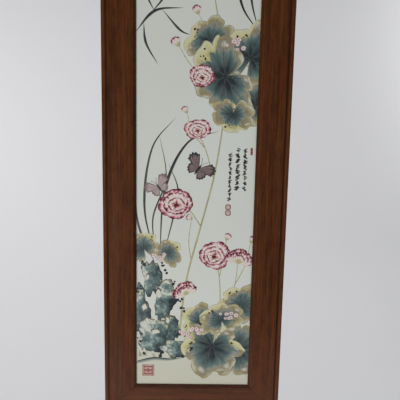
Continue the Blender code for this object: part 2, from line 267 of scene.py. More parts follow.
class Finish:
    """A material with one Principled surface, whose pattern is built up node by node."""

    def __init__(self, name, roughness=0.5, metallic=0.0):
        self.material = bpy.data.materials.new(name)
        self.material.use_nodes = True
        self.tree = self.material.node_tree
        self.surface = self.tree.nodes["Principled BSDF"]
        self.set("Roughness", roughness)
        self.set("Metallic", metallic)

    def feed(self, socket, value):
        """Links a signal to a socket, or sets a plain value on it."""
        if isinstance(value, Signal):
            self.tree.links.new(value.socket, socket)
        elif hasattr(socket.default_value, "__len__") and len(socket.default_value) == 4:
            socket.default_value = (*value[:3], 1.0)
        else:
            socket.default_value = value

    def set(self, word, value):
        """Feeds one of the surface's own sockets."""
        self.feed(self.surface.inputs[word], value)

    def node(self, kind, settings, inputs, output=0):
        """Adds a node, sets it up, feeds its sockets and gives one of its outputs."""
        made = self.tree.nodes.new(kind)
        for word, value in settings.items():
            setattr(made, word, value)
        for key, value in inputs.items():
            self.feed(made.inputs[key], value)
        return Signal(self, made.outputs[output])

    def place(self):
        """The object's own coordinates in metres."""
        return self.node("ShaderNodeTexCoord", {}, {}, 3)

    def stretched(self, vector, scales):
        """A vector with each coordinate multiplied by its own scale."""
        return self.node("ShaderNodeVectorMath", {"operation": "MULTIPLY"}, {0: vector, 1: scales})

    def noise(self, vector, scales, detail=2.0, roughness=0.5):
        """Smooth noise from 0 to 1, with so many cells a metre along each axis."""
        cells = self.stretched(vector, scales)
        inputs = {"Vector": cells, "Scale": 1.0, "Detail": detail, "Roughness": roughness}
        return self.node("ShaderNodeTexNoise", {}, inputs)

    def attribute(self, word, output=2):
        """A value kept on the mesh: its number, or its colour or alpha by their outputs."""
        return self.node("ShaderNodeAttribute", {"attribute_name": word}, {}, output)

    def height(self):
        """The object's own height in metres."""
        return self.node("ShaderNodeSeparateXYZ", {}, {0: self.place()}, 2)

    def blend(self, amount, first, second):
        """A colour between two colours."""
        return self.node("ShaderNodeMix", {"data_type": "RGBA"}, {0: amount, 6: first, 7: second}, 2)

    def relief(self, height, distance):
        """Bumps the surface by a height from 0 to 1 over a distance in metres."""
        self.set("Normal", self.node("ShaderNodeBump", {}, {"Distance": distance, "Height": height}))


def show(name, mesh, finish, replaces=()):
    """Puts a mesh into a new object that rides on the plaque."""
    made = bpy.data.objects.new(name, mesh)
    bpy.context.scene.collection.objects.link(made)
    mesh.materials.append(finish.material)
    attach(made, BODY)
    if replaces:
        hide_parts(*replaces)
    return made


def shade_round(made, sharp_degrees):
    """Smooth shading that keeps edges sharper than an angle."""
    made.data.shade_smooth()
    made.data.set_sharp_from_angle(angle=math.radians(sharp_degrees))


def smooth(share):
    """The cubic 3s^2 - 2s^3 of a share held between 0 and 1."""
    held = np.clip(share, 0, 1)
    return held * held * (3 - 2 * held)


def rising(value, low, high):
    """0 below low and 1 above high, smooth between."""
    return smooth((value - low) / (high - low))


def cloud(x, y, cell, seed):
    """Smooth noise from -1 to 1.

    Random values stand on a square lattice with the given cell, and each point blends the four round
    it by the smoothed shares of its cell that lie before it.
    """
    table = np.random.default_rng(seed).uniform(-1, 1, (TABLE_CELLS, TABLE_CELLS))
    u, v = np.broadcast_arrays(x / cell, y / cell)
    i, j = np.floor(u).astype(int), np.floor(v).astype(int)
    across, up = smooth(u - i), smooth(v - j)
    left, right = i % TABLE_CELLS, (i + 1) % TABLE_CELLS
    below, above = j % TABLE_CELLS, (j + 1) % TABLE_CELLS
    low = table[left, below] * (1 - across) + table[right, below] * across
    high = table[left, above] * (1 - across) + table[right, above] * across
    return low * (1 - up) + high * up


def mixed(amount, first, second):
    """Colours between two colours, where amount, a number or an array, goes from 0 to 1."""
    share = np.clip(np.asarray(amount, dtype=float), 0, 1)[..., None]
    return np.asarray(first) * (1 - share) + np.asarray(second) * share


def ramp(amount, *stops):
    """Colours along a scale whose stops are (place, colour) pairs."""
    places = [place for place, _ in stops]
    shades = np.array([colour for _, colour in stops]).T
    return np.stack([np.interp(amount, places, shade) for shade in shades], -1)


def woven(name, points, corners, sizes):
    """A mesh from points, the point numbers round every face and each face's count of corners."""
    mesh = bpy.data.meshes.new(name)
    mesh.vertices.add(len(points))
    mesh.vertices.foreach_set("co", points.astype(np.float32).ravel())
    mesh.loops.add(len(corners))
    mesh.loops.foreach_set("vertex_index", corners.astype(np.int32))
    mesh.polygons.add(len(sizes))
    mesh.polygons.foreach_set("loop_start", (np.cumsum(sizes) - sizes).astype(np.int32))
    mesh.update(calc_edges=True)
    return mesh


# The frame


def rounded(corners, steps=5):
    """A closed outline whose corners, given as (x, y, radius), are rounded.

    Between the points at the radius before and after a corner, the curve is the quadratic
    (1 - t)^2 A + 2 t (1 - t) P + t^2 C. It gives the points and how near each is to a corner's middle.
    """
    outline, nearness = [], []
    count = len(corners)
    for number, (x, y, radius) in enumerate(corners):
        corner = np.array([x, y])
        if radius == 0:
            outline.append(corner[None])
            nearness.append(np.zeros(1))
            continue
        before = np.array(corners[number - 1][:2]) - corner
        after = np.array(corners[(number + 1) % count][:2]) - corner
        start = corner + before / np.linalg.norm(before) * radius
        end = corner + after / np.linalg.norm(after) * radius
        t = np.linspace(0, 1, steps)[:, None]
        outline.append((1 - t) ** 2 * start + 2 * t * (1 - t) * corner + t**2 * end)
        outward = before[0] * after[1] - before[1] * after[0] < 0
        nearness.append(outward * (1 - np.abs(2 * t[:, 0] - 1)))
    return np.concatenate(outline), np.concatenate(nearness)


def moulding_outline(sizes):
    """The moulding's section as (across from the outer edge, height over the back) points.

    It runs from the back's outer corner round by both rebates, the lip, the bevel, the face and the
    groove to the bead, whose points are its half ellipse. Beside the points it gives how near each is
    to a rubbed edge, and which lie on the bevel or in the groove, whose colour takes painted shade.
    """
    board_wall = OUTER_WIDTH / 2 - BOARD_HIGH.x - EDGE_CLEARANCE
    slab_wall = OUTER_WIDTH / 2 - SLAB_HIGH.x - EDGE_CLEARANCE
    lip_under = GLAZE_LEVEL + SEAT_GAP
    lip_over = FRAME_DEPTH - sizes.bevel_depth
    groove_end = sizes.bead_width + sizes.groove_width
    groove_floor = FRAME_DEPTH - sizes.groove_depth
    bead_foot = FRAME_DEPTH - sizes.bead_drop - sizes.bead_rise
    corners = [
        (0.0, 0.0, 0.0008),
        (board_wall, 0.0, 0.0003),
        (board_wall, SLAB_BACK, 0),
        (slab_wall, SLAB_BACK, 0.0002),
        (slab_wall, lip_under, 0),
        (MEMBER_WIDTH, lip_under, 0.0003),
        (MEMBER_WIDTH, lip_over, 0.0007),
        (MEMBER_WIDTH - sizes.bevel_width, FRAME_DEPTH, 0.0010),
        (groove_end, FRAME_DEPTH, 0.0009),
        (groove_end, groove_floor, 0.0005),
        (sizes.bead_width, groove_floor, 0.0004),
        (sizes.bead_width, bead_foot, 0),
        (0.0, bead_foot, 0),
    ]
    outline, nearness = rounded(corners)
    turn = np.linspace(0, math.pi, 21)[1:-1]
    bead = np.stack([
        sizes.bead_width / 2 * (1 + np.cos(turn)),
        bead_foot + sizes.bead_rise * np.sin(turn)], axis=1)
    outline = np.concatenate([outline[:-1], bead, outline[-1:]])
    crown = 0.55 * np.sin(turn) ** 4
    nearness = np.concatenate([nearness[:-1], crown, nearness[-1:]])
    across, height = outline.T
    # The bevel and the groove, which are darkened in colour as painted shade
    sloping = (across > MEMBER_WIDTH - sizes.bevel_width - 1e-6) & (height > lip_under + SEAT_GAP)
    sunk = (across > sizes.bead_width - 1e-6) & (across < groove_end + 1e-6) & (height < FRAME_DEPTH - 0.0004)
    return outline, nearness, sloping | (sunk & (height > lip_over - 0.0004))


def member_places():
    """Each member's name, edge point, direction inwards, direction along and length."""
    half_width, half_height = OUTER_WIDTH / 2, OUTER_HEIGHT / 2
    return (
        ("stile_left", (-half_width, 0, CENTRE_Z), (1, 0, 0), (0, 0, -1), OUTER_HEIGHT),
        ("stile_right", (half_width, 0, CENTRE_Z), (-1, 0, 0), (0, 0, 1), OUTER_HEIGHT),
        ("rail_top", (0, 0, CENTRE_Z + half_height), (0, 0, -1), (-1, 0, 0), OUTER_WIDTH),
        ("rail_bottom", (0, 0, CENTRE_Z - half_height), (0, 0, 1), (1, 0, 0), OUTER_WIDTH),
    )


def mitred_member(number, place, sizes, finish):
    """One member: the moulding's section carried along a line, its ends mitred.

    A point is edge + inward * across + outward * height + along * s * (half length - across), with s
    from -1 to 1, and smooth noise of the planing depth added to its height along the face.
    """
    name, edge, inward, along, length = place
    outline, nearness, recess_shade_mask = moulding_outline(sizes)
    across, height = outline[:, 0], outline[:, 1]
    count = len(outline)
    rows = 2 + int(length / SECTION_STEP)
    run = np.linspace(-1, 1, rows)[:, None] * (length / 2 - across - MITRE_GAP * MITRE_SHARE)[None, :]
    wave = cloud(run + number, np.broadcast_to(across, run.shape), 0.045, 30 + number)
    front = height > GLAZE_LEVEL + 2 * SEAT_GAP
    rise = height + np.where(front, sizes.planing * (wave - 1), 0)
    points = (np.array(edge) + across[None, :, None] * np.array(inward)
              + rise[..., None] * np.array([0, -1, 0]) + run[..., None] * np.array(along))
    first = np.arange(rows - 1)[:, None] * count
    here = np.arange(count)[None, :]
    after = (here + 1) % count
    sides = np.stack([first + here, first + after, first + count + after, first + count + here], axis=-1)
    ends = np.concatenate([here[0, ::-1], here[0] + (rows - 1) * count])
    corners = np.concatenate([sides.ravel(), ends])
    sizes_of = np.concatenate([np.full((rows - 1) * count, 4), [count, count]])
    mesh = woven(name, points.reshape(-1, 3), corners, sizes_of)
    made = show(f"moulding_{name}", mesh, finish, (name,))
    lay_grain(made, run, outline, number)
    # The first value marks rubbed edges, the second where shade is painted into the bevel and the groove
    for word, share in (("arris", nearness), ("painted_recess_shade", recess_shade_mask)):
        values = made.data.attributes.new(word, "FLOAT", "POINT").data
        values.foreach_set("value", np.tile(share, rows).astype(np.float32))
    return made


def lay_grain(made, run, outline, number):
    """A UV map in metres: along the member, and round its section by the outline's own length.

    Each member takes its own part of the pattern, so that no two have the same figure.
    """
    steps = np.linalg.norm(np.roll(outline, -1, axis=0) - outline, axis=1)
    round_it = np.concatenate([[0], np.cumsum(steps)]) + number * 0.37
    along = run + number * 1.9
    here = np.arange(len(outline))
    after = (here + 1) % len(outline)
    near, far = along[:-1], along[1:]
    lengthwise = np.stack([near[:, here], near[:, after], far[:, after], far[:, here]], axis=-1)
    crosswise = np.stack([round_it[:-1], round_it[1:], round_it[1:], round_it[:-1]], axis=-1)
    corners = np.stack([lengthwise, np.broadcast_to(crosswise, lengthwise.shape)], axis=-1)
    ends = np.concatenate([outline[::-1], outline]) + number
    flat = np.concatenate([corners.reshape(-1, 2), ends])
    made.data.uv_layers.new(name="grain").data.foreach_set("uv", flat.astype(np.float32).ravel())


def hardwood_finish(sizes):
    """Fine straight grain: streaks that come and go, redder and yellower lines, short dark pores.

    Painted shade darkens the slope and the groove, the edges are rubbed paler and the foot is a little dusty.
    """
    finish = Finish("waxed_hardwood")
    finish.set("Specular IOR Level", 0.05)
    grain = finish.node("ShaderNodeUVMap", {"uv_map": "grain"}, {})
    streaks = finish.noise(grain, (9.0, 330.0, 1.0), 5.0, 0.62)
    bands = finish.noise(grain, (3.0, 70.0, 1.0), 3.0, 0.5)
    fibres = finish.noise(grain, (42.0, 1700.0, 1.0), 3.0, 0.6)
    mottle = finish.noise(grain, (34.0, 80.0, 1.0), 3.0, 0.55)
    pores = finish.noise(grain, (95.0, 1300.0, 1.0), 2.0, 0.5).rising(0.60, 0.70)
    redder = finish.noise(grain, (8.0, 210.0, 7.0), 3.0).rising(0.52, 0.66)
    other_grain = finish.stretched(grain, (0.8, 1.3, 1.0))
    yellower = finish.noise(other_grain, (9.0, 230.0, 3.0), 3.0).rising(0.55, 0.68)
    wear = finish.attribute("arris")
    painted_recess_shade = finish.attribute("painted_recess_shade")
    rub = wear * finish.noise(grain, (70.0, 260.0, 1.0), 4.0, 0.7).rising(0.42, 0.66)
    tone = (streaks * 0.70 + bands * 0.55 + mottle * 0.40 + fibres * 0.45).rising(0.74, 1.34)
    wood = finish.blend(tone, sizes.dark_wood, sizes.light_wood)
    wood = finish.blend(redder * 0.55, wood, sizes.red_wood)
    wood = finish.blend(yellower * 0.45, wood, sizes.tan_wood)
    wood = finish.blend(pores * 0.65, wood, [0.35 * part for part in sizes.dark_wood])
    # Painted shade: the bevel and the groove are darkened in the colour itself, not by the lamps
    wood = finish.blend(painted_recess_shade * 0.34, wood, [0.45 * part for part in sizes.dark_wood])
    wood = finish.blend(rub * 0.5, wood, sizes.worn_wood)
    dust = (finish.height() * -1.0).rising(0.62, 0.86)
    wood = finish.blend(dust * 0.10, wood, sizes.dusty_wood)
    finish.set("Base Color", wood)
    finish.set("Roughness", 0.38 + streaks * 0.16 + pores * 0.2 - rub * 0.05)
    finish.relief(fibres * 0.35 + streaks * 0.4 - pores * 0.6, 0.00012)
    return finish


def recess(rail, centre, wide, low, high, corner, depth):
    """Cuts a recess with rounded corners into the rail's back.

    The cutter is a rounded rectangle carried from outside the back to its depth.
    """
    corners = [(-wide, low, corner), (wide, low, corner), (wide, high, corner), (-wide, high, corner)]
    outline, _ = rounded(corners, 7)
    count = len(outline)
    levels = np.repeat([CUTTER_START, -depth], count)
    points = np.stack([np.tile(outline[:, 0], 2) + centre, levels, np.tile(outline[:, 1], 2)], axis=1)
    here = np.arange(count)
    after = (here + 1) % count
    faces = np.stack([here, after, after + count, here + count], axis=1).tolist()
    faces += [here[::-1].tolist(), (here + count).tolist()]
    mesh = bpy.data.meshes.new("recess_cutter")
    mesh.from_pydata(points.tolist(), [], faces)
    cutter = bpy.data.objects.new("recess_cutter", mesh)
    bpy.context.scene.collection.objects.link(cutter)
    step = rail.modifiers.new("recess", "BOOLEAN")
    step.operation = "DIFFERENCE"
    step.solver = "EXACT"
    step.object = cutter
    bpy.context.view_layer.update()
    ready = rail.evaluated_get(bpy.context.evaluated_depsgraph_get())
    worked = bpy.data.meshes.new_from_object(ready)
    rail.modifiers.remove(step)
    rail.data = worked
    bpy.data.objects.remove(cutter)


def brass_finish(sizes):
    """Dull brass with faint brushing and tarnish."""
    finish = Finish("dull_brass", metallic=1.0)
    place = finish.place()
    tarnish = finish.noise(place, (160.0, 160.0, 160.0), 4.0, 0.6)
    brushed = finish.noise(place, (300.0, 300.0, 5200.0), 2.0, 0.5)
    metal = finish.blend(tarnish.rising(0.4, 0.7) * 0.7, sizes.brass, [0.42 * part for part in sizes.brass])
    finish.set("Base Color", metal)
    finish.set("Roughness", 0.26 + tarnish * 0.22 + brushed * 0.08)
    finish.relief(brushed, 0.00003)
    return finish


def board_finish(sizes):
    """Plain board: broad flame figure with fine upright fibres."""
    finish = Finish("plain_board")
    place = finish.place()
    figure = finish.noise(place, (15.0, 15.0, 1.5), 2.0, 0.45)
    rings = finish.node("ShaderNodeMath", {"operation": "SINE"}, {0: figure * 90.0}) * 0.5 + 0.5
    streaks = finish.noise(place, (240.0, 240.0, 4.0), 3.0, 0.6)
    fibres = finish.noise(place, (1500.0, 1500.0, 22.0), 3.0, 0.6)
    dark = [0.62 * part for part in sizes.board_wood]
    tone = (rings * 0.20 + streaks * 0.40 + fibres * 0.40).rising(0.25, 0.75)
    finish.set("Base Color", finish.blend(tone, dark, sizes.board_wood))
    finish.set("Roughness", 0.62 + fibres * 0.2)
    finish.relief(fibres, 0.00015)
    return finish


# The enamel painting


def glaze_colour(finish, place, sizes):
    """The glaze's own colour, the same under and round every film."""
    drift = finish.noise(place, (5.0, 5.0, 3.0), 2.0, 0.5).rising(0.35, 0.65)
    foot = (finish.height() * -1.0).rising(-SIGHT_BOTTOM - WARM_REACH, -SIGHT_BOTTOM)
    return finish.blend(foot * 0.75 + drift * 0.12, sizes.body, sizes.warm)


def glaze_finish(sizes):
    """Glossy glaze with a slow ripple and a faint fine one."""
    finish = Finish("pale_glaze", roughness=sizes.roughness)
    place = finish.place()
    finish.set("Base Color", glaze_colour(finish, place, sizes))
    slow = finish.noise(place, (26.0, 26.0, 20.0), 2.0, 0.5)
    fine = finish.noise(place, (240.0, 240.0, 240.0), 2.0, 0.5)
    finish.relief(slow + fine * 0.04, sizes.ripple)
    return finish


def enamel_finish(name, glaze, grain, strength, roughness):
    """Enamel over the glaze: each point's own pigment, let thin by brush streaks and grains.

    The film's colour is mixed with the glaze's by how well it covers, so a wash fades into bare glaze.
    The UV map runs along and across each brush mark in millimetres.
    """
    finish = Finish(name)
    place = finish.place()
    flow = finish.node("ShaderNodeUVMap", {"uv_map": "flow"}, {})
    pigment = finish.attribute("pigment", 0)
    cover = finish.attribute("pigment", 3)
    streak = finish.noise(flow, (0.09 * grain, 1.1 * grain, 1.0), 4.0, 0.62)
    grains = finish.noise(place, (1300.0, 1300.0, 1300.0), 3.0, 0.65)
    tone = (streak - 0.5) * (2.2 * strength) + (grains - 0.5) * (0.9 * strength)
    thin = finish.blend((tone * -1.0).rising(0.0, 0.9) * 0.75, pigment, glaze_colour(finish, place, glaze))
    rich = finish.node("ShaderNodeMix", {"data_type": "RGBA", "blend_type": "MULTIPLY"},
                       {0: tone.rising(0.0, 0.9), 6: thin, 7: pigment}, 2)
    finish.set("Base Color", finish.blend(cover, glaze_colour(finish, place, glaze), rich))
    finish.set("Roughness", glaze.roughness + cover * roughness + grains * (0.1 * roughness))
    slow = finish.noise(place, (26.0, 26.0, 20.0), 2.0, 0.5)
    finish.relief(slow + cover * streak * 0.3 + cover * grains * 0.15, glaze.ripple)
    return finish


def patch_faces(rows, cols, round_trip):
    """Quads between neighbours in a grid of points numbered row by row."""
    first = np.arange(rows - 1)[:, None] * cols
    here = np.arange(cols if round_trip else cols - 1)[None, :]
    after = (here + 1) % cols
    quads = np.stack([first + here, first + after, first + cols + after, first + cols + here], axis=-1)
    return quads.reshape(-1, 4)


class Painting:
    """Brush marks gathered into one mesh of thin closed films, each a little higher than the last."""

    def __init__(self, level=0):
        self.level = level
        self.values, self.corners, self.sizes = [], [], []
        self.count = 0

    def film(self, across, height, colour, cover=1.0, flow=None, disc=False, rise=1.0):
        """Adds one film from a grid of places in millimetres.

        Rows run along a mark and columns across it. On a disc, rows are rings from the centre out and
        columns go all round, and the first row is gathered into one point. The film's edge goes
        straight down into the glaze, and its underside is one face. A point's nine values are its
        place, its colour, how well it covers and its place in the UV map.
        """
        rows, cols = across.shape
        if flow is None:
            flow = np.stack([height, across], axis=-1)
        depth = np.full((rows, cols, 1), -(GLAZE_LEVEL + FILM_FIRST + FILM_STEP * self.level))
        pigment = np.broadcast_to(colour, (rows, cols, 3))
        thickness = np.broadcast_to(cover, (rows, cols))[..., None]
        upward = height[..., None] * MM + SIGHT_BOTTOM
        front = np.concatenate([across[..., None] * MM, depth, upward, pigment, thickness, flow], axis=-1)
        front = front.reshape(-1, 9)
        quads = patch_faces(rows, cols, disc)
        tips = np.empty((0, 3), int)
        ring = np.arange(cols)
        if disc:
            quads = quads[cols:]
            tips = np.stack([np.zeros(cols, int), np.roll(ring, -1) + cols, ring + cols], axis=1)
            rim = ring + (rows - 1) * cols
        else:
            rim = np.concatenate([
                ring, np.arange(1, rows) * cols + cols - 1,
                (rows - 1) * cols + ring[-2::-1], np.arange(1, rows - 1)[::-1] * cols])
        loop = front[rim][:, (0, 2)]
        after = np.roll(loop, -1, axis=0)
        turned = np.sum(loop[:, 0] * after[:, 1] - loop[:, 1] * after[:, 0]) < 0
        if turned != disc:
            quads, tips = quads[:, ::-1], tips[:, ::-1]
        if turned:
            rim = rim[::-1]
        below = np.arange(len(rim)) + rows * cols
        walls = np.stack([rim, below, np.roll(below, -1), np.roll(rim, -1)], axis=1)
        foot = front[rim]
        foot[:, 1] = -(GLAZE_LEVEL - FILM_KEY)
        self.values += [front, foot]
        for block, size in ((quads, 4), (tips, 3), (walls, 4), (below[::-1], len(below))):
            self.corners.append(block.ravel() + self.count)
            self.sizes.append(np.full(block.size // size, size))
        self.count += len(front) + len(foot)
        self.level += rise

    def show(self, name, finish):
        """Makes the piece, trimmed to just under the frame's lip."""
        values, corners = np.concatenate(self.values), np.concatenate(self.corners)
        mesh = woven(name, values[:, :3], corners, np.concatenate(self.sizes))
        pigment = mesh.attributes.new("pigment", "FLOAT_COLOR", "POINT")
        pigment.data.foreach_set("color", values[:, 3:7].astype(np.float32).ravel())
        flow = values[corners, 7:9]
        mesh.uv_layers.new(name="flow").data.foreach_set("uv", flow.astype(np.float32).ravel())
        trim(mesh)
        mesh.shade_flat()
        return show(name, mesh, finish)


def trim(mesh):
    """Cuts a mesh off at the lines where it passes under the lip, and closes the cuts."""
    side = SIGHT_WIDTH / 2 + FILM_TUCK * MM
    low = SIGHT_BOTTOM - FILM_TUCK * MM
    high = SIGHT_BOTTOM + SIGHT_HEIGHT + FILM_TUCK * MM
    shape = bmesh.new()
    shape.from_mesh(mesh)
    loose = [vertex for vertex in shape.verts if not vertex.link_faces]
    bmesh.ops.delete(shape, geom=loose, context="VERTS")
    for place, outward in (((side, 0, 0), (1, 0, 0)), ((-side, 0, 0), (-1, 0, 0)),
                           ((0, 0, low), (0, 0, -1)), ((0, 0, high), (0, 0, 1))):
        whole = shape.verts[:] + shape.edges[:] + shape.faces[:]
        cut = bmesh.ops.bisect_plane(
            shape, geom=whole, dist=1e-7, plane_co=place, plane_no=outward, clear_outer=True)
        edges = [part for part in cut["geom_cut"] if isinstance(part, bmesh.types.BMEdge)]
        if edges:
            bmesh.ops.holes_fill(shape, edges=[edge for edge in edges if edge.is_boundary], sides=0)
    shape.to_mesh(mesh)
    shape.free()


def curve(places, count):
    """A smooth curve through places, at so many points.

    Between the middle two of four places it is the Catmull-Rom cubic
    (2 P1 + (P2 - P0) t + (2 P0 - 5 P1 + 4 P2 - P3) t^2 + (3 P1 - P0 - 3 P2 + P3) t^3) / 2.
    """
    held = np.array(places, dtype=float)
    held = np.concatenate([2 * held[:1] - held[1:2], held, 2 * held[-1:] - held[-2:-1]])
    run = np.linspace(0, len(places) - 1, count)
    step = np.minimum(run.astype(int), len(places) - 2)
    t = (run - step)[:, None]
    p0, p1, p2, p3 = (held[step + shift] for shift in range(4))
    square, cube = 2 * p0 - 5 * p1 + 4 * p2 - p3, 3 * p1 - p0 - 3 * p2 + p3
    return (2 * p1 + (p2 - p0) * t + square * t**2 + cube * t**3) / 2


def stroke(painting, path, width, shape, colour, cover=1.0, columns=5, rise=1.0):
    """A brush stroke along a path.

    Its points are path(s) + side(s) * u * width / 2 * shape(s), where side is square to the path, u
    goes from -1 to 1 and shape gives the share of the width at s, from 0 to 1. The colour is one
    colour, or a function of (s, u).
    """
    way = np.gradient(path, axis=0)
    way /= np.maximum(np.linalg.norm(way, axis=1, keepdims=True), 1e-9)
    side = np.stack([way[:, 1], -way[:, 0]], axis=1)
    s = np.linspace(0, 1, len(path))[:, None]
    u = np.linspace(-1, 1, columns)[None, :]
    reach = np.maximum(width / 2 * shape(s), THINNEST) * u
    across = path[:, :1] + side[:, :1] * reach
    height = path[:, 1:] + side[:, 1:] * reach
    length = np.concatenate([[0], np.cumsum(np.linalg.norm(np.diff(path, axis=0), axis=1))])
    flow = np.stack([np.broadcast_to(length[:, None], reach.shape) + path[0, 0], reach + path[0, 1]], axis=-1)
    painted = colour(s, u) if callable(colour) else colour
    thickness = cover(s, u) if callable(cover) else cover
    painting.film(across, height, painted, thickness, flow, rise=rise)


def tapered(start, end, power=0.7):
    """A shape that swells over its first share and thins over its last: (s/start)^p and ((1-s)/end)^p."""
    def shape(s):
        opening = np.clip(s / start, 0, 1) ** power
        return opening * np.clip((1 - s) / end, 0, 1) ** power
    return shape


def even(start=0.04, end=0.05):
    """A nearly even shape with short round ends."""
    return tapered(start, end, 0.5)


def turned_by(degrees):
    """The 2 by 2 turn, counter-clockwise."""
    angle = math.radians(degrees)
    return np.array([[math.cos(angle), -math.sin(angle)], [math.sin(angle), math.cos(angle)]])


def laid(along, aside, place, turn, squash=(1.0, 1.0)):
    """Turns and places points given along and aside from a motif's own axis, which at turn 0 goes up."""
    flat = np.stack([aside * squash[0], along * squash[1]], axis=-1) @ turned_by(turn).T
    return flat[..., 0] + place[0], flat[..., 1] + place[1]


def disc_grid(rings, spokes):
    """Shares of the way out from the centre, a row for each, and angles all round, a column for each."""
    return np.linspace(0, 1, rings)[:, None], np.linspace(0, 2 * math.pi, spokes + 1)[None, :-1]


def leaf_edge(phi, seed):
    """How far the leaf reaches at each angle from its axis, as a share of its radius.

    An envelope 1 - 0.34 (|phi| / pi)^1.5 is cut into round lobes by 1 - depth (1 - |cos(pi phi / lobe)|^0.5),
    notched where the stalk joins and stirred by slow and by quick noise.
    """
    away = np.abs(phi) / math.pi
    lobes = 1 - LOBE_DEPTH * (1 - np.abs(np.cos(math.pi * phi / LOBE)) ** 0.5)
    notch = 1 - 0.8 * rising(away, 0.90, 1.0)
    stirred = 1 + 0.16 * cloud(phi, 0.5, 0.7, seed) + 0.06 * cloud(phi, 0.7, 0.17, seed + 5)
    return (1 - 0.34 * away**1.5) * lobes * notch * stirred


def lobed_leaf(painting, paint, place, radius, turn, squash, seed, pale, droop, folds):
    """A broad lobed leaf: a dark heart washed out through teal to ochre lobes, and its veins.

    Its points are radius * edge(phi) * t from the stalk, for t from 0 to 1 and phi all round, with
    1.4 * droop * aside^2 / radius taken off along the axis.
    """
    def at(t, phi):
        reach = radius * leaf_edge(phi, seed) * t
        aside = -reach * np.sin(phi)
        return laid(reach * np.cos(phi) - 1.4 * droop * aside**2 / radius, aside, place, turn, squash)

    s = np.linspace(0, 1, 40)[:, None]
    t = 1 - (1 - s) ** 1.25
    phi = np.linspace(-math.pi, math.pi, 241)[None, :-1]
    across, height = at(t, phi)
    lobe = np.round(phi / LOBE)
    off_lobe = phi - lobe * LOBE
    crease = rising(np.abs(off_lobe) / (LOBE / 2), 0.45, 1.0)
    brushed = 0.6 * cloud(phi, t * 0.5, 0.035, seed + 1) + 0.5 * cloud(phi, t * 0.9, 0.11, seed + 2)
    blotch = cloud(across, height, radius * 0.26, seed + 3)
    soft = cloud(across, height, radius * 0.10, seed + 4)
    amount = t + 0.09 * brushed + 0.12 * blotch + 0.05 * soft + pale - 0.22 * crease * np.sin(math.pi * t)
    colour = ramp(
        amount, (0.10, paint.deep_teal), (0.36, mixed(0.50, paint.deep_teal, paint.teal)),
        (0.56, paint.teal), (0.72, mixed(0.5, paint.pale_teal, paint.ochre)),
        (0.84, paint.ochre), (0.98, mixed(0.45, paint.ochre, paint.straw)))
    chosen = np.random.default_rng(seed).random(9)[(lobe + 4).astype(int)] < 0.4
    spot = np.hypot((t - 0.80) / 0.075, off_lobe / 0.11)
    colour = mixed(chosen * np.exp(-(spot**2)) * 0.75, colour, paint.bare)
    ring = chosen * np.exp(-(((spot - 1.45) / 0.35) ** 2))
    colour = mixed(0.35 * ring, colour, paint.umber)
    rim = rising(t + 0.012 * brushed, 0.965, 0.99)
    colour = mixed(rim * (0.45 + 0.4 * blotch), colour, mixed(0.4, paint.umber, paint.deep_teal))
    cover = 1 - 0.6 * rising(t + 0.12 * soft, 0.82, 1.0) * rising(blotch, -0.1, 0.6) * (1 - 0.7 * rim)
    flow = np.stack([t * radius + 0 * phi, phi * radius * 0.8 + 0 * t], axis=-1)
    painting.film(across, height, colour, cover, flow, disc=True, rise=0.5)

    veins(painting, paint, at, radius, seed)
    for start, end, depth in folds:
        turned_rim(painting, paint, at, math.radians(start), math.radians(end), depth, radius, seed)


def veins(painting, paint, at, radius, seed):
    """A leaf's seven main veins, one to each lobe, and three pairs of side veins on each.

    A main vein runs out at a nearly even angle, and a side vein leaves it at t = begin and swings off by
    0.30 s^0.8 (1.1 - 0.3 begin) while t grows by 0.32 s. The main veins lie a quarter step over the others.
    """
    def colour(s, u):
        return mixed(s + 0 * u, mixed(0.35, paint.ink, paint.teal), mixed(0.5, paint.umber, paint.deep_teal))

    shape = tapered(0.03, 1.0, 0.8)
    ground = painting.level
    for number in range(-3, 4):
        heading = number * LOBE
        run = np.linspace(0.03, 0.92, 26)
        path = np.stack(at(run, heading + 0.04 * np.sin(run * 5 + seed + number)), axis=1)
        painting.level = ground + 0.25
        stroke(painting, path, 0.026 * radius, shape, colour, 1.0, columns=3, rise=0)
        painting.level = ground
        for begin in (0.22, 0.38, 0.54):
            for hand in (-1, 1):
                run = np.linspace(0, 1, 14)
                bend = 0.04 * math.sin(begin * 5 + seed + number)
                swing = heading + bend + hand * (0.30 * run**0.8) * (1.1 - 0.3 * begin)
                path = np.stack(at(begin + 0.32 * run, swing), axis=1)
                stroke(painting, path, 0.013 * radius, shape, colour, 0.9, columns=3, rise=0)
    painting.level = ground + 0.5


